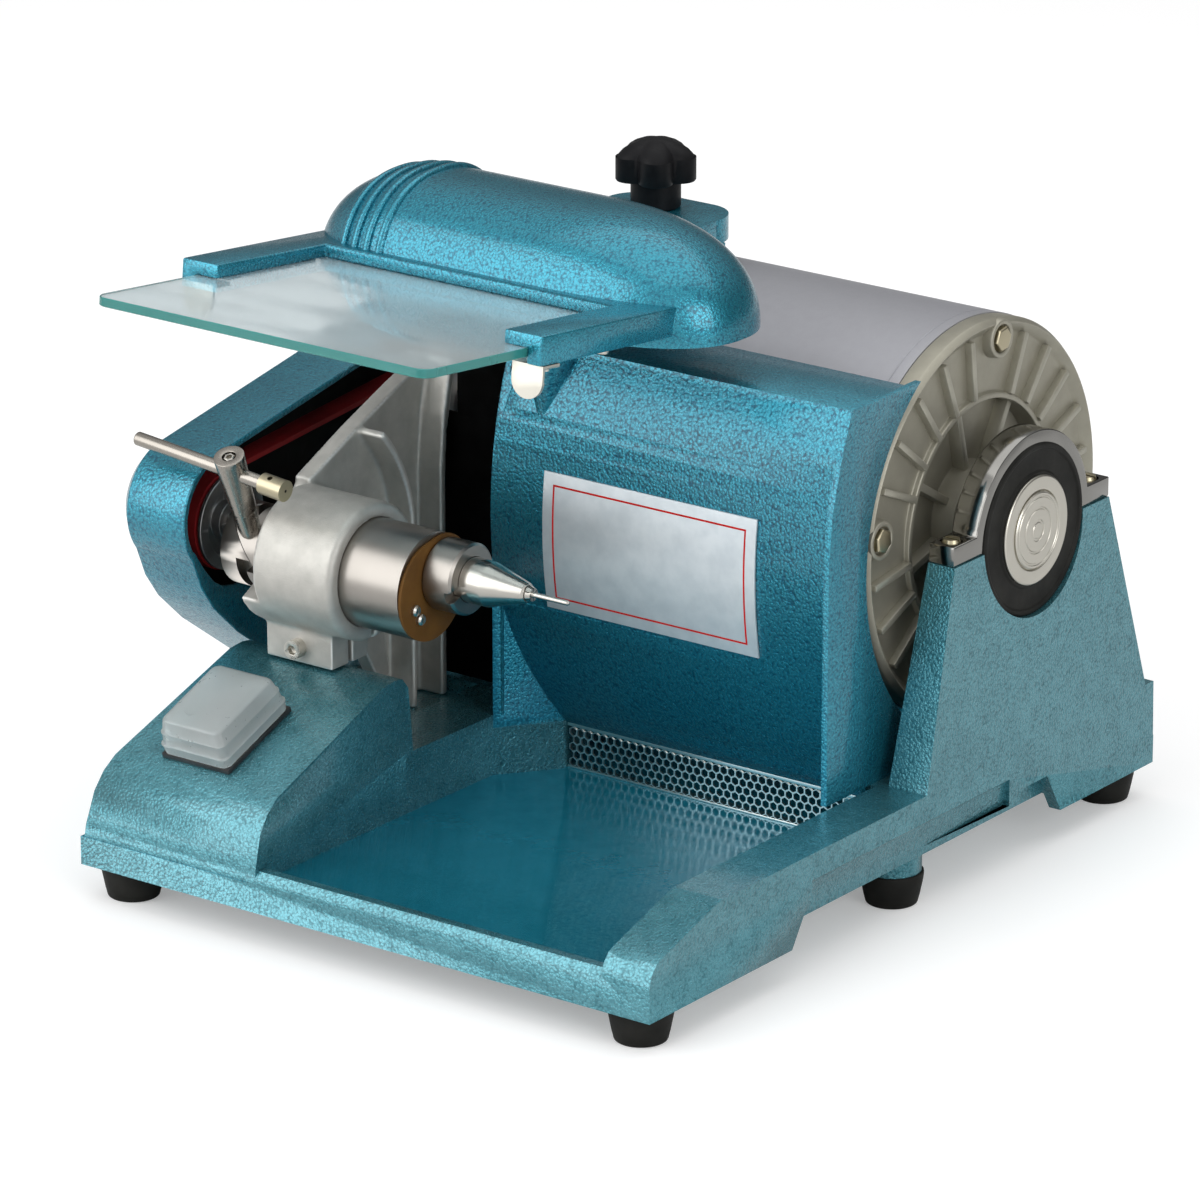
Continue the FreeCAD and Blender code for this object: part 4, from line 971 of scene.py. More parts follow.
class RepeatKit:
    """Builds the repeat trees and runs them."""

    def __init__(self, shop: Workshop) -> None:
        """Builds both trees.

        Args:
            shop: the workshop that places the results.
        """
        self.shop = shop
        self.ring = self.ring_tree()
        self.comb = self.comb_tree()
        self.scatter = self.scatter_tree()

    @staticmethod
    def new_tree(name: str, sockets: dict[str, str]) -> tuple[
        bpy.types.NodeTree, NodeSheet, dict, bpy.types.Node
    ]:
        """Starts a tree.

        Args:
            name: its name.
            sockets: input names and socket types.

        Returns:
            The tree, its sheet, its inputs by name and its output node.
        """
        tree = bpy.data.node_groups.new(name, "GeometryNodeTree")
        tree.interface.new_socket("Geometry", in_out="INPUT", socket_type="NodeSocketGeometry")
        for key, kind in sockets.items():
            tree.interface.new_socket(key, in_out="INPUT", socket_type=kind)
        tree.interface.new_socket("Geometry", in_out="OUTPUT", socket_type="NodeSocketGeometry")
        sheet = NodeSheet(tree)
        entry = sheet.add("NodeGroupInput")
        leave = sheet.add("NodeGroupOutput")
        return tree, sheet, {s.name: s for s in entry.outputs}, leave

    @staticmethod
    def close(
        sheet: NodeSheet, entry: dict, leave: bpy.types.Node, points: bpy.types.NodeSocket,
        turn: object = None
    ) -> None:
        """Instances the piece on points, realizes it and sets its material.

        Args:
            sheet: the tree's sheet.
            entry: its inputs.
            leave: its output node.
            points: the points.
            turn: the rotation of each instance.
        """
        source = sheet.add("GeometryNodeObjectInfo", transform_space="ORIGINAL")
        sheet.link(entry["Piece"], source.inputs["Object"])
        spread = sheet.add("GeometryNodeInstanceOnPoints")
        sheet.link(points, spread.inputs["Points"])
        sheet.link(source.outputs["Geometry"], spread.inputs["Instance"])
        sheet.feed(turn, spread.inputs["Rotation"])
        real = sheet.add("GeometryNodeRealizeInstances")
        sheet.link(spread.outputs[0], real.inputs[0])
        paint = sheet.add("GeometryNodeSetMaterial")
        sheet.link(real.outputs[0], paint.inputs["Geometry"])
        sheet.link(entry["Material"], paint.inputs["Material"])
        sheet.link(paint.outputs[0], leave.inputs[0])

    def ring_tree(self) -> bpy.types.NodeTree:
        """Builds the tree that repeats a piece round the X axis.

        Returns:
            The tree, with Piece, Material, Count, Start and Step.
        """
        kinds = {
            "Piece": "NodeSocketObject", "Material": "NodeSocketMaterial", "Count": "NodeSocketInt",
            "Start": "NodeSocketFloat", "Step": "NodeSocketFloat"
        }
        tree, s, entry, leave = self.new_tree("ring_of_pieces", kinds)
        points = s.add("GeometryNodePoints")
        s.link(entry["Count"], points.inputs["Count"])
        index = s.add("GeometryNodeInputIndex").outputs[0]
        angle = s.math("ADD", s.math("MULTIPLY", index, entry["Step"]), entry["Start"])
        turn = s.add("ShaderNodeCombineXYZ")
        s.link(angle, turn.inputs["X"])
        self.close(s, entry, leave, points.outputs[0], turn.outputs[0])
        return tree

    def comb_tree(self) -> bpy.types.NodeTree:
        """Builds the tree that lays a piece out as a honeycomb in X and Z.

        Returns:
            The tree, with Piece, Material, Count, Columns and Pitch.
        """
        kinds = {
            "Piece": "NodeSocketObject", "Material": "NodeSocketMaterial", "Count": "NodeSocketInt",
            "Columns": "NodeSocketFloat", "Pitch": "NodeSocketFloat"
        }
        tree, s, entry, leave = self.new_tree("honeycomb", kinds)
        points = s.add("GeometryNodePoints")
        s.link(entry["Count"], points.inputs["Count"])
        index = s.add("GeometryNodeInputIndex").outputs[0]
        row = s.math("FLOOR", s.math("DIVIDE", s.math("ADD", index, 0.5), entry["Columns"]))
        column = s.math("SUBTRACT", index, s.math("MULTIPLY", row, entry["Columns"]))
        shift = s.math("MULTIPLY", s.math("MODULO", row, 2.0), 0.5)
        place = s.add("ShaderNodeCombineXYZ")
        s.link(s.math("MULTIPLY", s.math("ADD", column, shift), entry["Pitch"]), place.inputs["X"])
        s.link(s.math("MULTIPLY", s.math("MULTIPLY", row, 0.8660254), entry["Pitch"]), place.inputs["Z"])
        moved = s.add("GeometryNodeSetPosition")
        s.link(points.outputs[0], moved.inputs["Geometry"])
        s.link(place.outputs[0], moved.inputs["Position"])
        self.close(s, entry, leave, moved.outputs[0])
        return tree

    def scatter_tree(self) -> bpy.types.NodeTree:
        """Builds the tree that puts a piece on each corner of the host.

        Returns:
            The tree, with Piece and Material.
        """
        tree, s, entry, leave = self.new_tree(
            "piece_on_spots", {"Piece": "NodeSocketObject", "Material": "NodeSocketMaterial"}
        )
        self.close(s, entry, leave, entry["Geometry"])
        return tree

    def run(
        self, name: str, tree: bpy.types.NodeTree, piece: bmesh.types.BMesh, finish: Finish, body: Body,
        origin: Vector, nodes: tuple[str, ...] = (), spots: list[Vector] | None = None,
        crease: float = 35.0, **numbers: float
    ) -> bpy.types.Object:
        """Runs a repeat tree and keeps its result as a plain mesh.

        Args:
            name: the piece's name.
            tree: the repeat tree.
            piece: the mesh to repeat, in mm from the repeat's own origin.
            finish: its finish.
            body: its body.
            origin: where the repeat's origin lies.
            nodes: the CAD nodes that it stands for.
            spots: points for the scatter tree, in mm.
            crease: edges sharper than this stay crisp.
            numbers: the tree's other inputs.

        Returns:
            The finished piece.
        """
        limit = math.radians(crease)
        for edge in piece.edges:
            edge.smooth = len(edge.link_faces) == 2 and edge.calc_face_angle(0.0) < limit
        for face in piece.faces:
            face.smooth = True
        piece.transform(Matrix.Scale(MM, 4))
        single_mesh = bpy.data.meshes.new(name + "_one")
        piece.to_mesh(single_mesh)
        piece.free()
        single = bpy.data.objects.new(name + "_one", single_mesh)
        host_mesh = bpy.data.meshes.new(name + "_host")
        host_mesh.from_pydata([p * MM for p in (spots or [])], [], [])
        host = bpy.data.objects.new(name + "_host", host_mesh)
        for thing in (single, host):
            bpy.context.scene.collection.objects.link(thing)
        modifier = host.modifiers.new("repeat", "NODES")
        modifier.node_group = tree
        values = {"Piece": single, "Material": finish.material(self.shop.shared), **numbers}
        for item in tree.interface.items_tree:
            if item.in_out == "INPUT" and item.name in values:
                modifier[item.identifier] = values[item.name]
        graph = bpy.context.evaluated_depsgraph_get()
        mesh = bpy.data.meshes.new_from_object(host.evaluated_get(graph))
        mesh.name = name
        mesh.transform(Matrix.Translation((origin - CENTRE) * MM))
        bpy.data.objects.remove(host)
        bpy.data.objects.remove(single)
        bpy.data.meshes.remove(single_mesh)
        return self.shop.place(name, mesh, finish, body, nodes)


# The machine's sub-assemblies


@dataclass
class BaseFrame:
    """The base casting, its feet and the screen.

    Attributes:
        tray_top: height of the tray floor.
        feet: centres of the feet.
        foot_low: radius of a foot at the floor.
        foot_high: radius of a foot at the base.
        foot_tall: height of a foot.
        pitch: distance between the screen's holes.
        wire: width of the screen's wire.
        screen: left edge, plane, low edge and right edge of the screen.
        strip: half the thickness of the strip that frames the screen.
    """

    shop: Workshop
    kit: RepeatKit
    tray_top: float = 28.0
    feet: tuple = ((16, 16), (289, 16), (285, 205), (20, 205), (289, 367), (16, 367))
    foot_low: float = 11.3
    foot_high: float = 14.0
    foot_tall: float = 15.0
    pitch: float = 4.1
    wire: float = 0.42
    screen: tuple = (118.3, 194.3, 28.0, 280.5)
    strip: float = 0.6

    def build(self) -> None:
        """Builds the casting, feet, screws, screen and gland."""
        self.casting()
        self.rubber_feet()
        self.honeycomb()
        self.shop.refine("foot_screws", ZINC, Body.BASE, 0.3)
        self.shop.refine("power_gland", BLACK_PLASTIC, Body.BASE, 0.5)

    def casting(self) -> None:
        """Rounds the casting and gives the tray floor its glossier coat."""
        bm = cad_copy("base_casting")
        ease_edges(bm, 1.5, 7.0, segments=3)
        piece = self.shop.finish("base_casting_skin", bm, BASE_PAINT, Body.BASE, ("base_casting",), 40.0)
        piece.data.materials.append(TRAY_PAINT.material(self.shop.shared))
        top = (self.tray_top + 0.1) * MM
        for face in piece.data.polygons:
            if face.normal.z > 0.9 and (self.tray_top - 0.5) * MM < face.center.z < top:
                face.material_index = 1

    def rubber_feet(self) -> None:
        """Turns one foot and repeats it."""
        slope = [
            (0.0, 5.5), (0.0, self.foot_low), (4.0, self.foot_low + 1.0), (11.5, self.foot_high - 0.2),
            (self.foot_tall, self.foot_high), (self.foot_tall, 3.0)
        ]
        inside = [(6.0, 3.0), (6.0, 5.5)]
        foot = revolve(Vector((0, 0, 0)), Z, eased(slope + inside, 0.8, True), 64, True)
        spots = [Vector((x, y, 0)) for x, y in self.feet]
        self.kit.run(
            "rubber_feet_skin", self.kit.scatter, foot, BLACK_RUBBER, Body.BASE, Vector((0, 0, 0)),
            ("rubber_feet",), spots
        )

    def honeycomb(self) -> None:
        """Lays out the screen's cells and the strip that frames them."""
        left, plane, low, right = self.screen
        outer = self.pitch / math.sqrt(3.0)
        inner = outer - self.wire
        cell = bmesh.new()
        rings = []
        for y, radius in ((-0.5, outer), (-0.5, inner), (0.5, inner), (0.5, outer)):
            turns = [math.radians(30 + 60 * k) for k in range(6)]
            rings.append([cell.verts.new((radius * math.cos(a), y, radius * math.sin(a))) for a in turns])
        for one, two in zip(rings[:-1], rings[1:]):
            for k in range(6):
                n = (k + 1) % 6
                cell.faces.new((one[k], one[n], two[n], two[k]))
        bmesh.ops.recalc_face_normals(cell, faces=cell.faces)
        columns = int((right - left - 3.0) / self.pitch)
        origin = Vector((left + 3.0, plane, low + 3.0))
        self.kit.run(
            "tray_screen_skin", self.kit.comb, cell, SCREEN_WIRE, Body.BASE, origin, ("tray_screen",),
            Count=columns * 5, Columns=float(columns), Pitch=self.pitch * MM
        )
        front = plane - self.strip
        back = plane + self.strip
        upper = block(Vector((left, front, 47.6)), Vector((right, back, 49.5)), 0.2)
        lower = block(Vector((left, front, low)), Vector((right, back, low + 1.0)), 0.2)
        strip = joined([upper, lower])
        self.shop.finish("tray_screen_rim", strip, SCREEN_WIRE, Body.BASE)


@dataclass
class Motor:
    """The motor in its rubber rings and straps.

    Attributes:
        shell_r: shell radius.
        left: left end of the shell.
        right: right end of the shell.
        bolt_angle: first bolt, from the rear horizontal, in degrees.
        bolt_r: radius of the bolt circle.
        ring_r: outer radius of the rubber ring.
        ring_x: left and right end of each rubber ring.
    """

    shop: Workshop
    kit: RepeatKit
    shell_r: float = 89.5
    left: float = 94.0
    right: float = 262.0
    bolt_angle: float = 82.0
    bolt_r: float = 80.0
    ring_r: float = 38.8
    ring_x: tuple = ((285.0, 299.0), (53.0, 67.0))

    def build(self) -> None:
        """Builds the shell, shields, bolts, rings, discs, straps, rotor and shaft."""
        self.shell()
        self.end_shield("right", self.right, 1.0)
        self.end_shield("left", self.left, -1.0)
        self.bolts()
        self.rings()
        self.discs()
        self.shop.refine("saddle_straps", CHROME, Body.BASE, 0.5, 3.0, 45.0)
        self.shop.refine("strap_screws", BRASSY, Body.BASE, 0.3, 0.8)
        for node, finish in (("stator", IRON), ("rotor_core", IRON), ("motor_bearings", STEEL)):
            self.shop.dress(node, finish)
        shaft = revolve(
            MOTOR_AXIS, X,
            eased(
                [
                    (-21.0, 0.0), (-21.0, 8.0), (110.0, 8.0), (110.0, 10.0), (246.0, 10.0), (246.0, 8.0),
                    (270.0, 8.0), (270.0, 0.0)
                ],
                0.8
            ),
            64
        )
        self.shop.finish("motor_shaft_skin", shaft, STEEL, Body.ROTOR, ("motor_shaft",))

    def shell(self) -> None:
        """Turns the shell, with a fine groove near each end."""
        r = self.shell_r
        outside = [
            (self.left, r - 5.0), (self.left, r), (self.left + 5.0, r), (self.left + 5.6, r - 0.5),
            (self.left + 6.2, r)
        ]
        outside += [
            (self.right - 6.2, r), (self.right - 5.6, r - 0.5), (self.right - 5.0, r), (self.right, r),
            (self.right, r - 5.0)
        ]
        shell = revolve(MOTOR_AXIS, X, outside, 160, True)
        self.shop.finish("motor_shell_skin", shell, MOTOR_PAINT, Body.BASE, ("motor_shell",))

    def end_shield(self, side: str, x: float, way: float) -> None:
        """Turns the shield and repeats its ribs, webs and bosses.

        Args:
            side: left or right.
            x: where the shield meets the shell.
            way: 1 to the right, -1 to the left.
        """
        r = self.shell_r - 0.3
        reach = self.ring_x[0][1] - self.right if way > 0 else self.left - self.ring_x[1][0]
        line = [
            (-4.0, 10.0), (-4.0, r - 5.2), (0.0, r - 5.2), (0.0, r), (8.0, r), (11.0, r - 2.2),
            (6.9, r - 6.6), (6.5, 56.0), (9.0, 55.5), (9.0, 53.0), (-0.8, 52.5), (-0.8, 24.5), (10.0, 23.5),
            (10.0, 21.0), (reach, 21.0), (reach, 9.0)
        ]
        body = revolve(MOTOR_AXIS + X * x, X * way, eased(line, 0.7, True), 144, True)
        self.shop.finish(
            f"end_shield_{side}_skin", body, SHIELD_CAST, Body.BASE, (f"end_shield_{side}",), 30.0
        )
        rib = block(Vector((5.5, 55.5, -1.6)), Vector((10.4, 83.2, 1.6)), 0.7)
        web = block(Vector((-2.0, 22.0, -1.8)), Vector((5.5, 54.0, 1.8)), 0.6)
        boss = revolve(
            Vector((5.0, self.bolt_r, 0.0)), X,
            eased([(0.0, 0.0), (0.0, 9.4), (6.4, 8.6), (6.4, 6.4), (4.2, 6.2), (4.2, 0.0)], 0.8), 48
        )
        start = math.radians(self.bolt_angle)
        if way < 0:
            for piece in (rib, web, boss):
                bmesh.ops.transform(piece, matrix=Matrix.Scale(-1.0, 4, X), verts=piece.verts)
                bmesh.ops.recalc_face_normals(piece, faces=piece.faces)
        origin = MOTOR_AXIS + X * x
        sixth = math.radians(15.0)
        for quarter in range(4):
            first = start + math.radians(90.0 * quarter) + sixth
            copy = rib.copy()
            self.kit.run(
                f"shield_ribs_{side}_{quarter}", self.kit.ring, copy, SHIELD_CAST, Body.BASE, origin,
                Count=5, Start=first, Step=sixth
            )
        rib.free()
        self.kit.run(
            f"shield_webs_{side}", self.kit.ring, web, SHIELD_CAST, Body.BASE, origin, Count=8,
            Start=start + math.radians(22.5), Step=math.radians(45.0)
        )
        self.kit.run(
            f"shield_bosses_{side}", self.kit.ring, boss, SHIELD_CAST, Body.BASE, origin, Count=4,
            Start=start, Step=math.radians(90.0)
        )

    def bolts(self) -> None:
        """Repeats the hexagon bolts of both shields."""
        step = math.radians(90.0)
        start = math.radians(self.bolt_angle)
        for side, x, way in (("right", self.right, 1.0), ("left", self.left, -1.0)):
            head = revolve(
                Vector((0, self.bolt_r, 0)), X * way,
                eased([(8.4, 0.0), (8.4, 5.77), (12.0, 5.77), (12.6, 5.0), (12.6, 0.0)], 0.3), 6
            )
            washer = revolve(
                Vector((0, self.bolt_r, 0)), X * way,
                eased([(7.6, 0.0), (7.6, 6.6), (8.5, 6.6), (8.5, 0.0)], 0.2), 40
            )
            nodes = ("shield_bolts",) if side == "right" else ()
            self.kit.run(
                f"shield_bolts_{side}", self.kit.ring, joined([head, washer]), BRASSY, Body.BASE,
                MOTOR_AXIS + X * x, nodes, Count=4, Start=start, Step=step
            )

    def rings(self) -> None:
        """Turns both rubber rings with their raised lips."""
        parts = []
        for low, high in self.ring_x:
            back, way = (low, 1.0) if low > 100 else (high, -1.0)
            depth = high - low
            line = [
                (0.0, 21.0), (0.0, self.ring_r), (depth - 0.6, self.ring_r), (depth, self.ring_r - 0.8),
                (depth, 36.2), (depth - 0.8, 35.6), (depth - 0.8, 26.4), (depth, 25.6), (depth, 21.0)
            ]
            parts.append(revolve(MOTOR_AXIS + X * back, X * way, eased(line, 0.4, True), 128, True))
        self.shop.finish("rubber_rings_skin", joined(parts), BLACK_RUBBER, Body.BASE, ("rubber_rings",), 30.0)

    def discs(self) -> None:
        """Turns the hub discs and the medallion with its plain rings."""
        right = self.ring_x[0][1]
        left = self.ring_x[1][0]
        outer = [(0.0, 0.0), (0.0, 24.6), (0.9, 24.6), (1.4, 23.9), (1.4, 18.2), (0.5, 17.6), (0.5, 0.0)]
        hub = revolve(MOTOR_AXIS + X * right, X, eased(outer, 0.25), 128)
        far = revolve(
            MOTOR_AXIS + X * left, -X,
            eased([(0.0, 9.0), (0.0, 24.6), (1.0, 24.6), (1.4, 24.0), (1.4, 9.0)], 0.25, True), 128, True
        )
        self.shop.finish("hub_discs_skin", hub, SILVER, Body.BASE, ("hub_discs",), 30.0)
        # Painted shade: the left disc is black to darken the shadowed gap behind the bracket; the right one
        # is silver.
        self.shop.finish("hub_disc_left", far, BLACK_PLASTIC, Body.BASE, (), 30.0)
        line = [
            (0.0, 0.0), (0.0, 17.2), (1.1, 17.2), (1.6, 16.7), (1.6, 15.9), (1.25, 15.6), (1.25, 15.0),
            (1.6, 14.7), (1.6, 10.6), (1.2, 10.3), (1.2, 9.7), (1.6, 9.4), (1.6, 5.0), (1.2, 4.7),
            (1.2, 3.8), (1.5, 3.4), (1.6, 0.0)
        ]
        medal = revolve(MOTOR_AXIS + X * (right + 0.4), X, line, 128)
        self.shop.finish("medallion_skin", medal, SILVER, Body.BASE, ("medallion",), 30.0)


@dataclass
class MotorGuard:
    """The sheet guard before the motor and its plain plate.

    Attributes:
        curve_y: centre of the guard's curve, along Y.
        curve_z: its height.
        curve_r: its radius.
        plate: left, right, low and high edge of the plate.
        inset: distance of the ruled border from the plate's edge.
        rule: width of the ruled border.
        gap: left edge, left edge of the head, right edge, front and back of the black plate that paints the
            shade past the guard.
        gap_tall: foot, top of the wide leaf and top of that black plate.
        fold: front edge and thickness of its folded right side.
    """

    shop: Workshop
    curve_y: float = 360.0
    curve_z: float = 150.0
    curve_r: float = 195.0
    plate: tuple = (127.0, 240.0, 112.5, 175.5)
    inset: float = 5.2
    rule: float = 0.85
    gap: tuple = (46.0, 55.0, 97.2, 197.2, 199.0)
    gap_tall: tuple = (57.0, 180.0, 225.0)
    fold: tuple = (190.0, 1.8)

    def build(self) -> None:
        """Builds the guard, its screws and the plate."""
        self.shop.refine("motor_guard", PAINT, Body.BASE, 0.8, 4.0, 32.0)
        self.shop.refine("guard_screws", ZINC, Body.BASE, 0.3)
        self.gap_plate()
        left, right, low, high = self.plate
        foil = self.bent(left, right, low, high, 0.15, 0.95)
        self.shop.finish("guard_plate_skin", foil, PLATE, Body.BASE, ("guard_plate",))
        i = self.inset
        t = self.rule
        strips = [
            self.bent(left + i, right - i, high - i - t, high - i, 0.90, 1.0),
            self.bent(left + i, right - i, low + i, low + i + t, 0.90, 1.0),
            self.bent(left + i, left + i + t, low + i, high - i, 0.90, 1.0),
            self.bent(right - i - t, right - i, low + i, high - i, 0.90, 1.0),
        ]
        self.shop.finish("plate_border", joined(strips), RED_INK, Body.BASE)

    def gap_plate(self) -> None:
        """Closes the view past the guard's left edge with a black plate, painted shade where the machine lies
        in shadow.
        """
        left, head_left, right, front, back = self.gap
        foot, step, top = self.gap_tall
        fold_front, sheet = self.fold
        plate = block(Vector((left, front, foot)), Vector((right, back, step)), 0.5)
        head = block(Vector((head_left, front, step - 1.0)), Vector((right, back, top)), 0.5)
        fold = block(Vector((right - sheet, fold_front, foot)), Vector((right, front + 0.4, top)), 0.5)
        # Painted shade: a flat black plate fills the shadowed gap behind the bracket.
        self.shop.finish("gap_plate", joined([plate, head, fold]), SHADE_BLACK, Body.BASE)

    def bent(
        self, left: float, right: float, low: float, high: float, near: float, far: float
    ) -> bmesh.types.BMesh:
        """Bends a flat strip round the guard's curve.

        Args:
            left: left edge.
            right: right edge.
            low: low edge.
            high: high edge.
            near: distance of its back from the guard.
            far: distance of its front from the guard.

        Returns:
            The bent strip.
        """
        rows = max(2, int((high - low) / 2.5))
        rings = []
        for k in range(rows + 1):
            z = low + (high - low) * k / rows
            back = self.curve_y - math.sqrt((self.curve_r + near) ** 2 - (z - self.curve_z) ** 2)
            front = self.curve_y - math.sqrt((self.curve_r + far) ** 2 - (z - self.curve_z) ** 2)
            corners = ((left, back), (right, back), (right, front), (left, front))
            rings.append([Vector((x, y, z)) for x, y in corners])
        return stacked(rings)


@dataclass
class SpindleHead:
    """The spindle, its sleeve and the cast bracket.

    Attributes:
        voxel: mesh size of the bracket's cast skin.
    """

    shop: Workshop
    voxel: float = 0.9

    def build(self) -> None:
        """Builds the bracket, the sleeve and the nose."""
        self.bracket()
        self.shop.refine("quill_sleeve", STEEL, Body.BASE, 0.3, 2.5, 30.0)
        self.shop.refine("bracket_bolts", ZINC, Body.BASE, 0.4, 1.0)
        self.shop.refine("dust_plate", BOARD, Body.BASE, 0.25, 0.5)
        self.shop.refine("plate_screws", ZINC, Body.BASE, 0.25, 0.5)
        self.shop.dress("spindle_bearings", STEEL)
        self.shop.refine("nose_collar", STEEL, Body.SPINDLE, 0.3, 1.0, 30.0)
        self.shop.refine("collet", NOSE_STEEL, Body.COLLET, 0.0)
        self.turned_parts()

    def bracket(self) -> None:
        """Remeshes the bracket so that its edges and corners are cast ones."""
        bm = cad_copy("spindle_bracket")
        mesh = bpy.data.meshes.new("bracket_rough")
        bm.to_mesh(mesh)
        bm.free()
        rough = bpy.data.objects.new("bracket_rough", mesh)
        bpy.context.scene.collection.objects.link(rough)
        remesh = rough.modifiers.new("voxels", "REMESH")
        remesh.mode = "VOXEL"
        remesh.voxel_size = self.voxel
        remesh.use_smooth_shade = True
        soft = rough.modifiers.new("soft", "SMOOTH")
        soft.factor = 0.6
        soft.iterations = 5
        graph = bpy.context.evaluated_depsgraph_get()
        cast = bpy.data.meshes.new_from_object(rough.evaluated_get(graph))
        bpy.data.objects.remove(rough)
        cast.transform(TO_FRAME)
        cast.materials.clear()
        self.shop.place("spindle_bracket_skin", cast, BRACKET_CAST, Body.BASE, ("spindle_bracket",))

    def turned_parts(self) -> None:
        """Turns the shaft, nut and tool pin."""
        nut = [
            (125.6, 3.1), (125.6, 10.1), (141.5, 10.05), (150.0, 7.5), (160.2, 4.6), (161.0, 4.1),
            (161.0, 3.1)
        ]
        self.shop.finish(
            "collet_nut_skin", revolve(SPINDLE_AXIS, X, eased(nut, 0.35, True), 96, True), NOSE_STEEL,
            Body.SPINDLE, ("collet_nut",), 14.0
        )
        pin = [
            (142.0, 0.0), (142.0, 1.5), (163.8, 1.5), (163.8, 1.175), (181.8, 1.175), (182.7, 0.6),
            (182.7, 0.0)
        ]
        self.shop.finish(
            "tool_pin_skin", revolve(SPINDLE_AXIS, X, eased(pin, 0.2), 32), NOSE_STEEL, Body.COLLET,
            ("tool_pin",)
        )
        shaft = [
            (-21.0, 0.0), (-21.0, 4.0), (42.8, 4.0), (42.8, 5.0), (125.4, 5.0), (125.4, 3.1), (93.4, 3.1),
            (93.4, 0.0)
        ]
        self.shop.finish(
            "spindle_shaft_skin", revolve(SPINDLE_AXIS, X, shaft, 48), STEEL, Body.SPINDLE,
            ("spindle_shaft",)
        )


@dataclass
class CamLever:
    """The cam collar, its stem and the cross rod.

    Attributes:
        foot: where the stem's axis meets the collar.
        way: the stem's direction.
        rod_way: the rod's direction.
        crossing: distance along the stem to the rod.
    """

    shop: Workshop
    foot: Vector = Vector((24.7, 88.8, 149.0))
    way: Vector = Vector((0.065, -0.403, 0.914)).normalized()
    rod_way: Vector = Vector((1.0, -0.028, -0.0835)).normalized()
    crossing: float = 32.5

    def build(self) -> None:
        """Builds the collar, thrust ring, stem, screw, rod and cap."""
        self.shop.refine("lever_collar", STEEL, Body.LEVER, 0.3, 3.0, 30.0)
        self.shop.refine("thrust_ring", STEEL, Body.PUSH_SLEEVE, 0.25, 0.5)
        self.stem()
        self.rod()

    def stem(self) -> None:
        """Turns the tapered stem and its hexagon socket screw."""
        line = [
            (-2.0, 0.0), (-2.0, 4.4), (1.0, 4.9), (11.0, 5.5), (12.0, 5.75), (39.5, 6.85), (42.0, 6.9),
            (42.0, 3.1), (38.8, 2.9), (38.8, 0.0)
        ]
        self.shop.finish(
            "lever_stem_skin", revolve(self.foot, self.way, eased(line, 0.35), 72), STEEL_UPRIGHT,
            Body.LEVER, ("lever_stem",), 30.0
        )
        screw = [(36.7, 0.0), (36.7, 2.5), (41.4, 2.5), (41.7, 2.2), (41.7, 1.5), (39.2, 1.45), (39.2, 0.0)]
        self.shop.finish(
            "stem_screw_skin", revolve(self.foot, self.way, screw, 6), ZINC, Body.LEVER, ("stem_screw",),
            20.0
        )

    def rod(self) -> None:
        """Turns the cross rod, and its cap with a cross hole."""
        start = self.foot + self.way * self.crossing
        line = [(-55.5, 0.0), (-55.5, 2.5), (-54.9, 3.1), (17.0, 3.1), (17.0, 0.0)]
        self.shop.finish(
            "cross_rod_skin", revolve(start, self.rod_way, eased(line, 0.3), 48), STEEL_UPRIGHT, Body.ROD,
            ("cross_rod",), 30.0
        )
        self.shop.refine("rod_cap", BRASSY, Body.ROD, 0.4, 0.5, 30.0)
        # Painted shade: a thin black disc darkens the centre of the cap's end.
        dot = revolve(start, self.rod_way, [(29.3, 0.0), (29.3, 0.7), (29.52, 0.7), (29.52, 0.0)], 16)
        self.shop.finish("rod_cap_centre", dot, BLACK_RUBBER, Body.ROD)


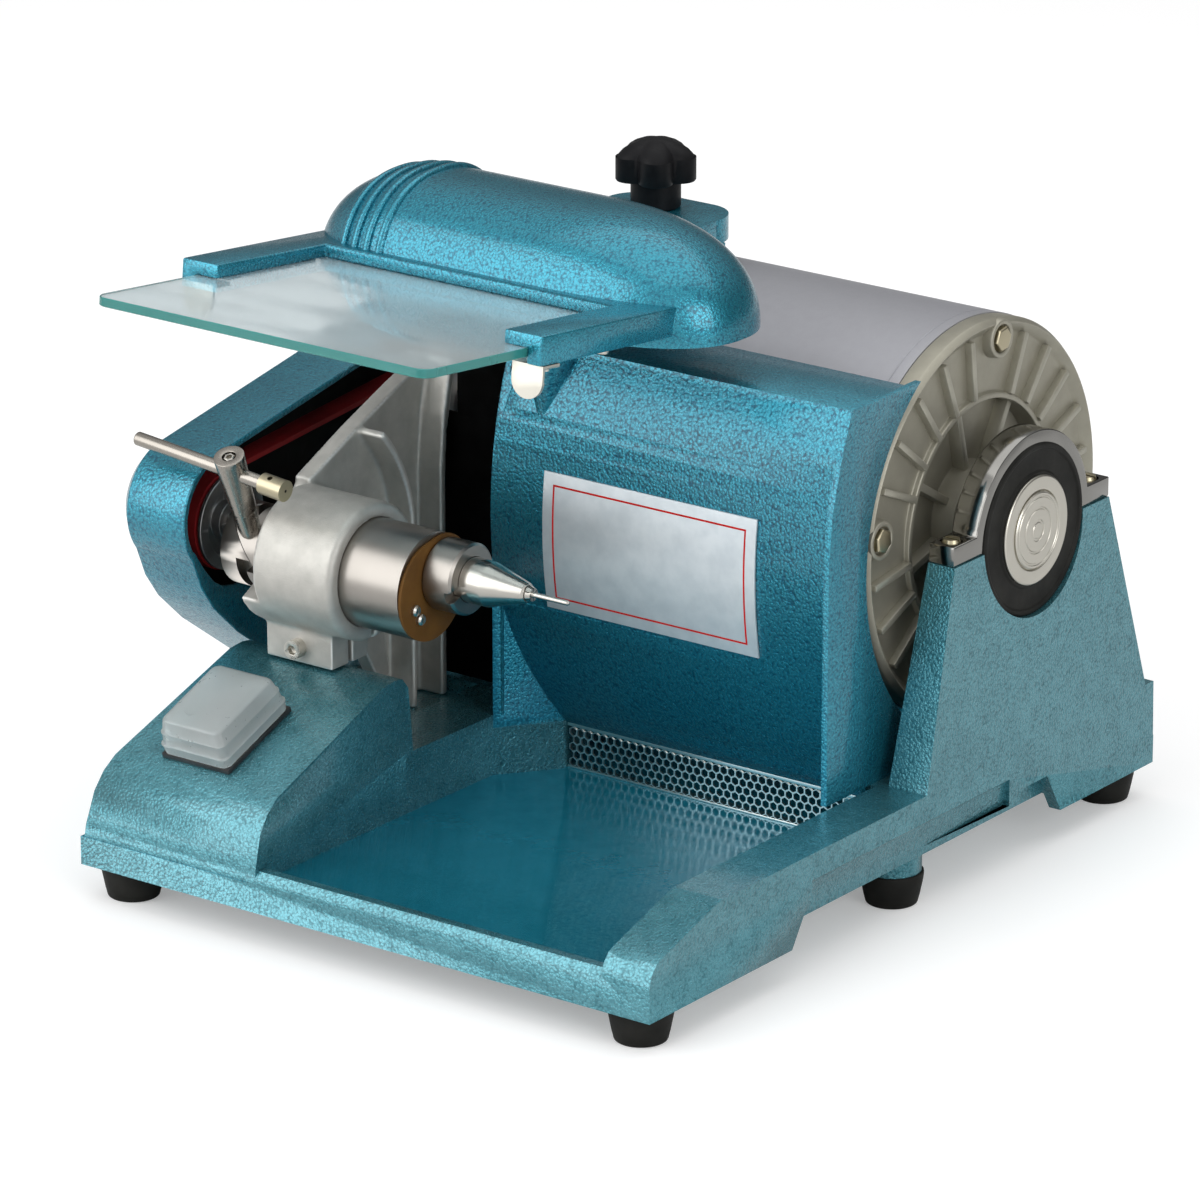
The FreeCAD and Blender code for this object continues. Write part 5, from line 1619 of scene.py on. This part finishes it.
@dataclass
class BeltDrive:
    """The belt guard, the belt and both pulleys.

    Attributes:
        left: left side of the guard.
        right: its open side.
        bevel: width of the left side's slope.
        wall: wall thickness.
        nose: centre and radius of its front.
        tail_r: radius of its rear.
    """

    shop: Workshop
    left: float = -35.0
    right: float = 3.0
    bevel: float = 6.0
    wall: float = 3.0
    nose: tuple = (98.0, 150.0, 28.0)
    tail_r: float = 62.0

    def build(self) -> None:
        """Builds guard, screws, pulleys and belt."""
        self.guard()
        self.shop.refine("belt_guard_screws", ZINC, Body.BASE, 0.3)
        self.shop.refine("drive_belt", BELT_RED, Body.BASE, 0.3, 4.0)
        self.pulley("motor_pulley", MOTOR_AXIS, 28.0, 8.0, Body.ROTOR)
        self.pulley("spindle_pulley", SPINDLE_AXIS, 20.0, 4.0, Body.SPINDLE)

    def outline(self, x: float, inset: float) -> list[Vector]:
        """Draws the guard's outline.

        Args:
            x: its plane.
            inset: how far it lies inside the outer skin.

        Returns:
            A closed ring of points, the same number for every inset.
        """
        y0, z0, r0 = self.nose
        r0 -= inset
        r1 = self.tail_r - inset
        gap = math.hypot(MOTOR_AXIS.y - y0, MOTOR_AXIS.z - z0)
        top = math.atan2(MOTOR_AXIS.z - z0, MOTOR_AXIS.y - y0) + math.acos((r0 - r1) / gap)
        low = math.radians(218.0)
        end = math.radians(-50.0)
        foot = 57.0 + inset
        nose = [top + (low - top) * k / 40 for k in range(41)]
        tail = [end + (top - end) * k / 60 for k in range(61)]
        ring = [Vector((x, y0 + r0 * math.cos(a), z0 + r0 * math.sin(a))) for a in nose]
        ring += [
            Vector((x, 81.5 + 0.88 * inset, 119 + 0.48 * inset)),
            Vector((x, 90 + 0.78 * inset, 107 + 0.66 * inset))
        ]
        ring += [
            Vector((x, 106 + 0.62 * inset, 92 + 0.83 * inset)), Vector((x, 154 + 0.35 * inset, foot)),
            Vector((x, 292 - inset, foot))
        ]
        y1, z1 = MOTOR_AXIS.yz
        return ring + [Vector((x, y1 + r1 * math.cos(a), z1 + r1 * math.sin(a))) for a in tail]

    def guard(self) -> None:
        """Makes the shell with its sloped left side, and the plate that closes it low on the right."""
        lip = 0.5
        rings = [
            self.outline(self.left, self.bevel + 0.6), self.outline(self.left + 0.3, self.bevel - 0.2),
            self.outline(self.left + self.bevel - 0.4, 0.2)
        ]
        rings += [
            self.outline(self.left + self.bevel + 0.4, 0.0), self.outline(self.right - lip, 0.0),
            self.outline(self.right, lip)
        ]
        rings += [
            self.outline(self.right, self.wall - lip), self.outline(self.right - lip, self.wall),
            self.outline(self.left + self.bevel + 1.0, self.wall),
            self.outline(self.left + self.wall, self.bevel + 1.0)
        ]
        shell = stacked(rings)
        self.shop.finish("belt_guard_skin", shell, PAINT, Body.BASE, ("belt_guard",), 30.0)
        # Painted shade: a black lining covers the guard's inside, which lies in shadow.
        shade_lining = stacked(
            [
                self.outline(self.right - 6.0, self.wall + 0.15),
                self.outline(self.left + self.bevel + 2.0, self.wall + 0.15),
                self.outline(self.left + self.wall + 0.3, self.bevel + 1.3)
            ],
            False
        )
        cap = shade_lining.faces.new([v for v in shade_lining.verts if v.co.x < self.left + self.wall + 0.5])
        cap.normal_update()
        for face in shade_lining.faces:
            face.normal_flip()
        self.shop.finish("belt_guard_lining", shade_lining, BLACK_RUBBER, Body.BASE, (), 30.0)
        mouth = [
            (77.2, 137.0), (84.0, 127.0), (90.5, 119.7), (96.0, 116.3), (105.0, 114.3), (262.0, 114.3),
            (262.0, 106.0), (330.0, 106.0)
        ]
        foot = [
            (322.0, 98.0), (292.0, 58.0), (154.5, 58.0), (107.0, 93.0), (91.0, 108.0), (82.5, 120.0),
            (77.0, 131.0)
        ]
        sill = prism([Vector((self.right - 2.4, y, z)) for y, z in mouth + foot], X * 2.3)
        ease_edges(sill, 0.5, 1.0)
        tab = block(Vector((self.right - 2.5, 218.0, 56.0)), Vector((17.0, 262.0, 59.0)), 0.6)
        self.shop.finish("belt_guard_sill", joined([sill, tab]), PAINT, Body.BASE)

    def pulley(self, node: str, axis: Vector, radius: float, bore: float, body: Body) -> None:
        """Turns a flanged pulley.

        Args:
            node: the CAD node it stands for.
            axis: a point on its axis.
            radius: radius under the belt.
            bore: radius of its bore.
            body: its body.
        """
        rim = radius + 2.0
        web = radius * 0.82
        hub = bore + 5.0
        line = [
            (-19.0, bore), (-19.0, hub), (-14.2, hub), (-14.2, web), (-19.0, web), (-19.0, rim),
            (-17.2, rim), (-17.0, radius), (-4.0, radius), (-3.8, rim), (-2.0, rim), (-2.0, web),
            (-6.8, web), (-6.8, hub), (-2.0, hub), (-2.0, bore)
        ]
        self.shop.finish(
            node + "_skin", revolve(axis, X, eased(line, 0.4, True), 96, True), PULLEY_CAST, body, (node,),
            30.0
        )


@dataclass
class LampHood:
    """The domed lamp hood, its bracket, glass and lug.

    Attributes:
        left: left end of the dome.
        right: its right end.
        centre: its middle line along Y.
        half: its half width.
        tall: its height.
        floor: height of its rim.
        wall: its thickness.
        tilt: slope of the glass in degrees.
        hinge: the line that the slope turns about.
        ribs: positions of the four raised ribs.
        square: how square the arch is; 1 is an ellipse.
        plate: left, right, front and back edge of the glass.
        layer: height of the glass's two faces before it is sloped.
        corner: radius of its front corners.
    """

    shop: Workshop
    left: float = 4.0
    right: float = 222.0
    centre: float = 181.0
    half: float = 45.0
    tall: float = 46.5
    floor: float = 249.0
    wall: float = 3.0
    tilt: float = 6.2
    hinge: Vector = Vector((0.0, 60.0, 277.0))
    ribs: tuple = (36.3, 43.6, 50.9, 58.2)
    square: float = 0.85
    plate: tuple = (21.3, 197.9, -8.0, 141.7)
    layer: tuple = (266.8, 270.8)
    corner: float = 7.0

    def build(self) -> None:
        """Builds the dome, bracket, glass, clips, lamp and switch."""
        self.dome()
        self.shop.refine("hood_bracket", HOOD_PAINT, Body.HOOD, 1.0, 5.0)
        self.shop.refine("hood_lug", HOOD_PAINT, Body.HOOD, 1.4, 4.0)
        self.shop.refine("hood_post", PAINT, Body.BASE, 0.7, 4.0)
        self.shop.refine("post_screws", ZINC, Body.BASE, 0.4, 0.5)
        self.glass()
        self.shop.refine("glass_clips", SILVER, Body.HOOD, 0.3, 2.0)
        self.shop.refine("clip_screws", ZINC, Body.HOOD, 0.3, 0.3)
        self.shop.refine("lamp", LAMP_WHITE, Body.HOOD, 0.4, 2.0)
        self.shop.dress("lamp_shelf", SILVER)
        self.shop.refine("switch_boss", BLACK_PLASTIC, Body.HOOD, 0.3, 2.0)
        self.shop.refine("lamp_switch", RED_PLASTIC, Body.BUTTON, 0.4, 0.3)

    def width(self, share: float) -> float:
        """Gives the dome's size along its length.

        Args:
            share: 0 at the left end, 1 at the right end.

        Returns:
            Its size as a share of the full one.
        """
        if share < 0.27:
            off = (0.27 - share) / 0.27
        elif share > 0.62:
            off = (share - 0.62) / 0.38
        else:
            return 1.0
        return max(0.0, 1.0 - off ** 2.3) ** (1 / 2.3)

    def station(self, x: float, inset: float, swell: float = 0.0) -> list[Vector]:
        """Draws the dome's arch at one place.

        Args:
            x: the place.
            inset: how far inside the outer skin.
            swell: how far a rib stands out.

        Returns:
            The arch from the front rim to the rear rim.
        """
        size = self.width((x - self.left) / (self.right - self.left))
        half = max(0.05, self.half * size - inset + swell)
        tall = max(0.05, self.tall * size - inset + swell)
        arch = []
        for k in range(49):
            a = math.pi * k / 48
            c = math.cos(a)
            out = half * math.copysign(abs(c) ** self.square, c)
            arch.append(Vector((x, self.centre - out, self.floor + tall * math.sin(a) ** self.square)))
        return arch

    def dome(self) -> None:
        """Makes the dome's two skins, the rim between them and the ribs."""
        bm = bmesh.new()
        length = self.right - self.left
        stops = [0.5 - 0.5 * math.cos(math.pi * k / 72) for k in range(73)]
        skins = []
        for inset in (0.0, self.wall):
            reach = length - 2 * inset
            rows = []
            for u in stops:
                x = self.left + inset + reach * min(max(u, 0.0004), 0.9996)
                rows.append([bm.verts.new(p) for p in self.station(x, inset)])
            for one, two in zip(rows[:-1], rows[1:]):
                for k in range(48):
                    bm.faces.new((one[k], one[k + 1], two[k + 1], two[k]))
            bm.faces.new(rows[0])
            bm.faces.new(rows[-1])
            skins.append(rows)
        outer, inner = skins
        for k in range(72):
            for side in (0, 48):
                bm.faces.new((outer[k][side], outer[k + 1][side], inner[k + 1][side], inner[k][side]))
        for end in (0, 72):
            bm.faces.new((outer[end][0], outer[end][48], inner[end][48], inner[end][0]))
        bmesh.ops.recalc_face_normals(bm, faces=bm.faces)
        self.shop.finish("hood_dome_skin", bm, HOOD_PAINT, Body.HOOD, ("hood_dome",), 50.0)
        for number, x in enumerate(self.ribs):
            arches = []
            for shift, swell in (
                (-2.0, -0.4), (-1.7, 0.8), (-1.0, 1.6), (0.0, 1.8), (1.0, 1.6), (1.7, 0.8), (2.0, -0.4)
            ):
                arches.append(self.station(x + shift, 0.0, swell))
            rib = bmesh.new()
            rows = [[rib.verts.new(p) for p in arch] for arch in arches]
            for one, two in zip(rows[:-1], rows[1:]):
                for k in range(48):
                    rib.faces.new((one[k], one[k + 1], two[k + 1], two[k]))
            bmesh.ops.recalc_face_normals(rib, faces=rib.faces)
            self.shop.finish(f"hood_rib_{number}", rib, HOOD_PAINT, Body.HOOD, (), 50.0)

    def tilted(self, bm: bmesh.types.BMesh) -> bmesh.types.BMesh:
        """Slopes a mesh with the glass, and gives it back."""
        turn = Matrix.Translation(self.hinge) @ Matrix.Rotation(
            math.radians(-self.tilt), 4, "X"
        ) @ Matrix.Translation(-self.hinge)
        bm.transform(turn)
        return bm

    def glass(self) -> None:
        """Makes the glass plate with round front corners and green edges."""
        low, high = self.layer
        left, right, front, back = self.plate
        r = self.corner
        corners = []
        for cx, cy, start in ((right - r, front + r, -90), (left + r, front + r, 180)):
            turns = [math.radians(start + 90 * k / 8) for k in range(9)]
            corners.append([Vector((cx + r * math.cos(a), cy + r * math.sin(a), low)) for a in turns])
        outline = corners[1] + corners[0] + [Vector((right, back, low)), Vector((left, back, low))]
        plate = prism(outline, Z * (high - low))
        ease_edges(plate, 0.35, 0.2, 60.0, 1)
        piece = self.shop.finish(
            "glass_shield_skin", self.tilted(plate), GLASS, Body.HOOD, ("glass_shield",), 25.0
        )
        piece.data.materials.append(GLASS_EDGE.material(self.shop.shared))
        for face in piece.data.polygons:
            if abs(face.normal.z) < 0.8:
                face.material_index = 1


@dataclass
class StarKnob:
    """The lobed clamp knob over the motor.

    Attributes:
        centre: its axis.
        low: height of its seat.
        lobes: how many lobes.
        reach: radius over the lobes.
        waist: radius between the lobes.
    """

    shop: Workshop
    centre: tuple = (95.0, 291.0)
    low: float = 260.0
    lobes: int = 5
    reach: float = 18.6
    waist: float = 13.4

    def build(self) -> None:
        """Builds knob and stud."""
        self.shop.dress("knob_stud", ZINC)
        x, y = self.centre
        hub = revolve(
            Vector((x, y, self.low)), Z,
            eased([(0.0, 4.0), (0.0, 10.6), (0.8, 11.3), (14.5, 11.3), (14.5, 4.0)], 0.4, True), 64, True
        )
        rings = []
        for height, size, dome in (
            (13.0, 0.90, 0), (13.0, 0.97, 0), (13.8, 1.0, 0), (24.0, 1.0, 0), (26.0, 0.985, 1),
            (27.6, 0.93, 1), (28.8, 0.84, 1), (30.0, 0.66, 1), (31.0, 0.40, 1), (31.6, 0.14, 1)
        ):
            rings.append(self.star(self.low + height, size, dome))
        head = stacked(rings)
        self.shop.finish("star_knob_skin", joined([hub, head]), KNOB_PLASTIC, Body.KNOB, ("star_knob",), 40.0)

    def star(self, z: float, size: float, dome: int) -> list[Vector]:
        """Draws one ring of the head.

        Args:
            z: its height.
            size: its share of the full size.
            dome: 1 where the top curves down to the lobes.

        Returns:
            The ring.
        """
        x, y = self.centre
        ring = []
        steps = 120
        for k in range(steps):
            a = 2 * math.pi * k / steps
            wave = (0.5 + 0.5 * math.cos(self.lobes * (a - math.radians(18)))) ** 0.55
            r = self.waist + (self.reach - self.waist) * wave
            r *= size
            drop = 3.4 * (r / self.reach) ** 2 if dome else 0.0
            ring.append(Vector((x + r * math.cos(a), y + r * math.sin(a), z - drop)))
        return ring


@dataclass
class PowerSwitch:
    """The rocker switch under its clear cover.

    Attributes:
        spot: the middle of its seat.
        slope: slope of the seat in degrees.
    """

    shop: Workshop
    spot: Vector = Vector((48.0, 42.8, 72.82))
    slope: float = 21.063

    def build(self) -> None:
        """Builds bezel, rocker and cover."""
        self.shop.refine("switch_bezel", BLACK_PLASTIC, Body.BASE, 0.5, 1.5)
        self.shop.refine("switch_rocker", BLACK_PLASTIC, Body.ROCKER, 0.4, 1.5)
        self.cover()

    def layer(self, half_x: float, half_y: float, z: float, corner: float) -> list[Vector]:
        """Draws a rectangle with round corners.

        Args:
            half_x: half its width.
            half_y: half its depth.
            z: its height over the seat.
            corner: radius of its corners.

        Returns:
            The ring, on the slope.
        """
        turn = Matrix.Translation(self.spot) @ Matrix.Rotation(math.radians(self.slope), 4, "X")
        mid_x = half_x - corner
        mid_y = half_y - corner
        ring = []
        for sx, sy, start in ((1, 1, 0), (-1, 1, 90), (-1, -1, 180), (1, -1, 270)):
            for k in range(7):
                a = math.radians(start + 15 * k)
                x = sx * mid_x + corner * math.cos(a)
                y = sy * mid_y + corner * math.sin(a)
                ring.append(turn @ Vector((x, y, z)))
        return ring

    def cover(self) -> None:
        """Makes the soft cover with its two steps, its crowned top and an embossed ring."""
        outside = [
            (18.0, 22.8, 2.6, 3.6), (18.2, 23.0, 4.0, 3.6), (18.3, 23.1, 6.2, 3.6), (18.6, 23.4, 6.7, 3.6),
            (18.6, 23.4, 7.3, 3.6), (17.9, 22.7, 7.8, 3.6)
        ]
        outside += [
            (17.5, 22.2, 12.2, 3.6), (17.7, 22.4, 12.7, 3.6), (17.7, 22.4, 13.2, 3.6),
            (17.2, 21.8, 13.7, 3.6), (16.3, 20.8, 18.4, 3.6), (15.9, 20.3, 19.1, 3.5)
        ]
        outside += [
            (15.1, 19.3, 19.6, 3.5), (12.0, 15.4, 20.6, 3.4), (8.0, 10.4, 21.2, 3.2), (3.0, 3.8, 21.5, 2.6)
        ]
        inside = [
            (3.0, 3.8, 20.4, 2.6), (12.0, 15.4, 19.4, 3.4), (14.9, 19.2, 18.2, 3.4), (16.3, 20.9, 8.0, 3.4),
            (17.0, 21.7, 2.6, 3.4)
        ]
        bm = joined([stacked([self.layer(*row) for row in rows], False) for rows in (outside, inside)])
        verts = list(bm.verts)
        size = len(verts) // len(outside + inside)
        rows = [verts[k:k + size] for k in range(0, len(verts), size)]
        bm.faces.new(rows[len(outside) - 1])
        bm.faces.new(rows[len(outside)])
        first, last = rows[0], rows[-1]
        for k in range(size):
            n = (k + 1) % size
            bm.faces.new((first[k], first[n], last[n], last[k]))
        bmesh.ops.recalc_face_normals(bm, faces=bm.faces)
        self.shop.finish("switch_cover_skin", bm, SILICONE, Body.BASE, ("switch_cover",), 50.0)
        turn = Matrix.Rotation(math.radians(self.slope), 4, "X")
        centre = self.spot + turn @ Vector((-4.0, -10.5, 20.35))
        ring = revolve(centre, turn @ Z, [(-0.8, 3.4), (0.45, 3.7), (0.55, 4.3), (-0.8, 4.7)], 48, True)
        self.shop.finish("switch_cover_ring", ring, SILICONE, Body.BASE)


# The studio


@dataclass
class Studio:
    """Floor, world, lamps and camera.

    Attributes:
        eye: the camera's place in mm.
        lens: its focal length for a 36 mm sensor.
        turn: its rotation in degrees.
        lamps: name, place in metres, side in metres and power in watts of each lamp.
        paper: grey of the floor.
        paper_glow: how much of its white the camera sees as its own light.
        paper_half: half the floor's side in metres.
        backdrop: brightness of the world that the camera sees.
    """

    eye: Vector = Vector((1960.0, -2267.4, 1181.0))
    lens: float = 222.0
    turn: tuple = (70.73, 0.0, 36.54)
    lamps: tuple = (
        ("key", (-1.0, -2.0, 1.15), 2.4, 37.0),
        ("side", (1.9, -0.6, 0.8), 1.1, 11.0),
        ("top", (0.1, 0.3, 2.1), 2.4, 18.0),
    )
    paper: float = 0.78
    paper_glow: float = 0.29
    paper_half: float = 9.0
    backdrop: float = 0.966

    def build(self) -> None:
        """Sets up everything round the machine."""
        scene = bpy.context.scene
        scene.view_settings.view_transform = "Standard"
        self.floor()
        self.world()
        for lamp in self.lamps:
            self.lamp(*lamp)
        view = bpy.data.cameras.new("photo_view")
        view.lens = self.lens
        view.sensor_width = 36.0
        view.clip_end = 60.0
        camera = bpy.data.objects.new("photo_view", view)
        scene.collection.objects.link(camera)
        camera.location = (self.eye - CENTRE) * MM
        camera.rotation_euler = tuple(math.radians(a) for a in self.turn)
        scene.camera = camera

    def floor(self) -> None:
        """Lays the white floor, which keeps the shadow."""
        bm = bmesh.new()
        r = self.paper_half
        for x, y in ((-r, -r), (r, -r), (r, r), (-r, r)):
            bm.verts.new((x, y, -0.0002))
        bm.faces.new(bm.verts)
        mesh = bpy.data.meshes.new("floor")
        bm.to_mesh(mesh)
        bm.free()
        floor = bpy.data.objects.new("floor", mesh)
        bpy.context.scene.collection.objects.link(floor)
        paper = bpy.data.materials.new("white_paper")
        paper.use_nodes = True
        s = NodeSheet(paper.node_tree)
        shader = paper.node_tree.nodes["Principled BSDF"]
        shader.inputs["Base Color"].default_value = (self.paper, self.paper, self.paper, 1.0)
        shader.inputs["Roughness"].default_value = 0.9
        shader.inputs["Emission Color"].default_value = (1.0, 1.0, 1.0, 1.0)
        rays = s.add("ShaderNodeLightPath")
        seen = s.math("ADD", rays.outputs["Is Camera Ray"], rays.outputs["Is Transmission Ray"], clamp=True)
        s.link(s.math("MULTIPLY", seen, self.paper_glow), shader.inputs["Emission Strength"])
        mesh.materials.append(paper)

    def world(self) -> None:
        """Makes a white world to look at, and a plain grey one that lights."""
        world = bpy.data.worlds.new("studio")
        bpy.context.scene.world = world
        world.use_nodes = True
        s = NodeSheet(world.node_tree)
        back = world.node_tree.nodes["Background"]
        rays = s.add("ShaderNodeLightPath")
        way = s.add("ShaderNodeSeparateXYZ")
        s.link(s.add("ShaderNodeTexCoord").outputs["Generated"], way.inputs[0])
        lit = s.ramp(way.outputs["Z"], -0.1, 0.8, 0.34, 0.66)
        front = s.ramp(way.outputs["Y"], 0.45, -0.55, 0.0, 0.86)
        above = s.ramp(way.outputs["Z"], 0.30, 0.80, 0.0, 0.45)
        shine = s.math("ADD", s.math("MAXIMUM", front, above), 0.13)
        seen = s.math("ADD", rays.outputs["Is Camera Ray"], rays.outputs["Is Transmission Ray"], clamp=True)
        mirrored = s.math(
            "ADD", s.math("MULTIPLY", rays.outputs["Is Glossy Ray"], shine),
            s.math("MULTIPLY", s.math("SUBTRACT", 1.0, rays.outputs["Is Glossy Ray"]), lit)
        )
        other = s.math("MULTIPLY", s.math("SUBTRACT", 1.0, seen), mirrored)
        s.link(s.math("ADD", s.math("MULTIPLY", seen, self.backdrop), other), back.inputs["Strength"])
        back.inputs["Color"].default_value = (1.0, 1.0, 1.0, 1.0)

    @staticmethod
    def lamp(name: str, place: tuple, size: float, power: float) -> None:
        """Hangs a soft square lamp that faces the machine.

        Args:
            name: its name.
            place: where it hangs, in metres.
            size: its side in metres.
            power: its power in watts.
        """
        light = bpy.data.lights.new(name, "AREA")
        light.size = size
        light.energy = power
        lamp = bpy.data.objects.new(name, light)
        bpy.context.scene.collection.objects.link(lamp)
        lamp.location = place
        lamp.rotation_euler = (Vector((0, 0, 0.12)) - Vector(place)).to_track_quat("-Z", "Y").to_euler()


def main() -> None:
    """Builds the machine and its studio."""
    logging.basicConfig(level=logging.INFO, format="%(relativeCreated)7d %(name)s: %(message)s")
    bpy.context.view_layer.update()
    shop = Workshop()
    kit = RepeatKit(shop)
    BaseFrame(shop, kit).build()
    Motor(shop, kit).build()
    MotorGuard(shop).build()
    SpindleHead(shop).build()
    CamLever(shop).build()
    BeltDrive(shop).build()
    LampHood(shop).build()
    StarKnob(shop).build()
    PowerSwitch(shop).build()
    Studio().build()
    LOG.info("%d pieces made", shop.count)


if __name__ == "__main__":
    main()
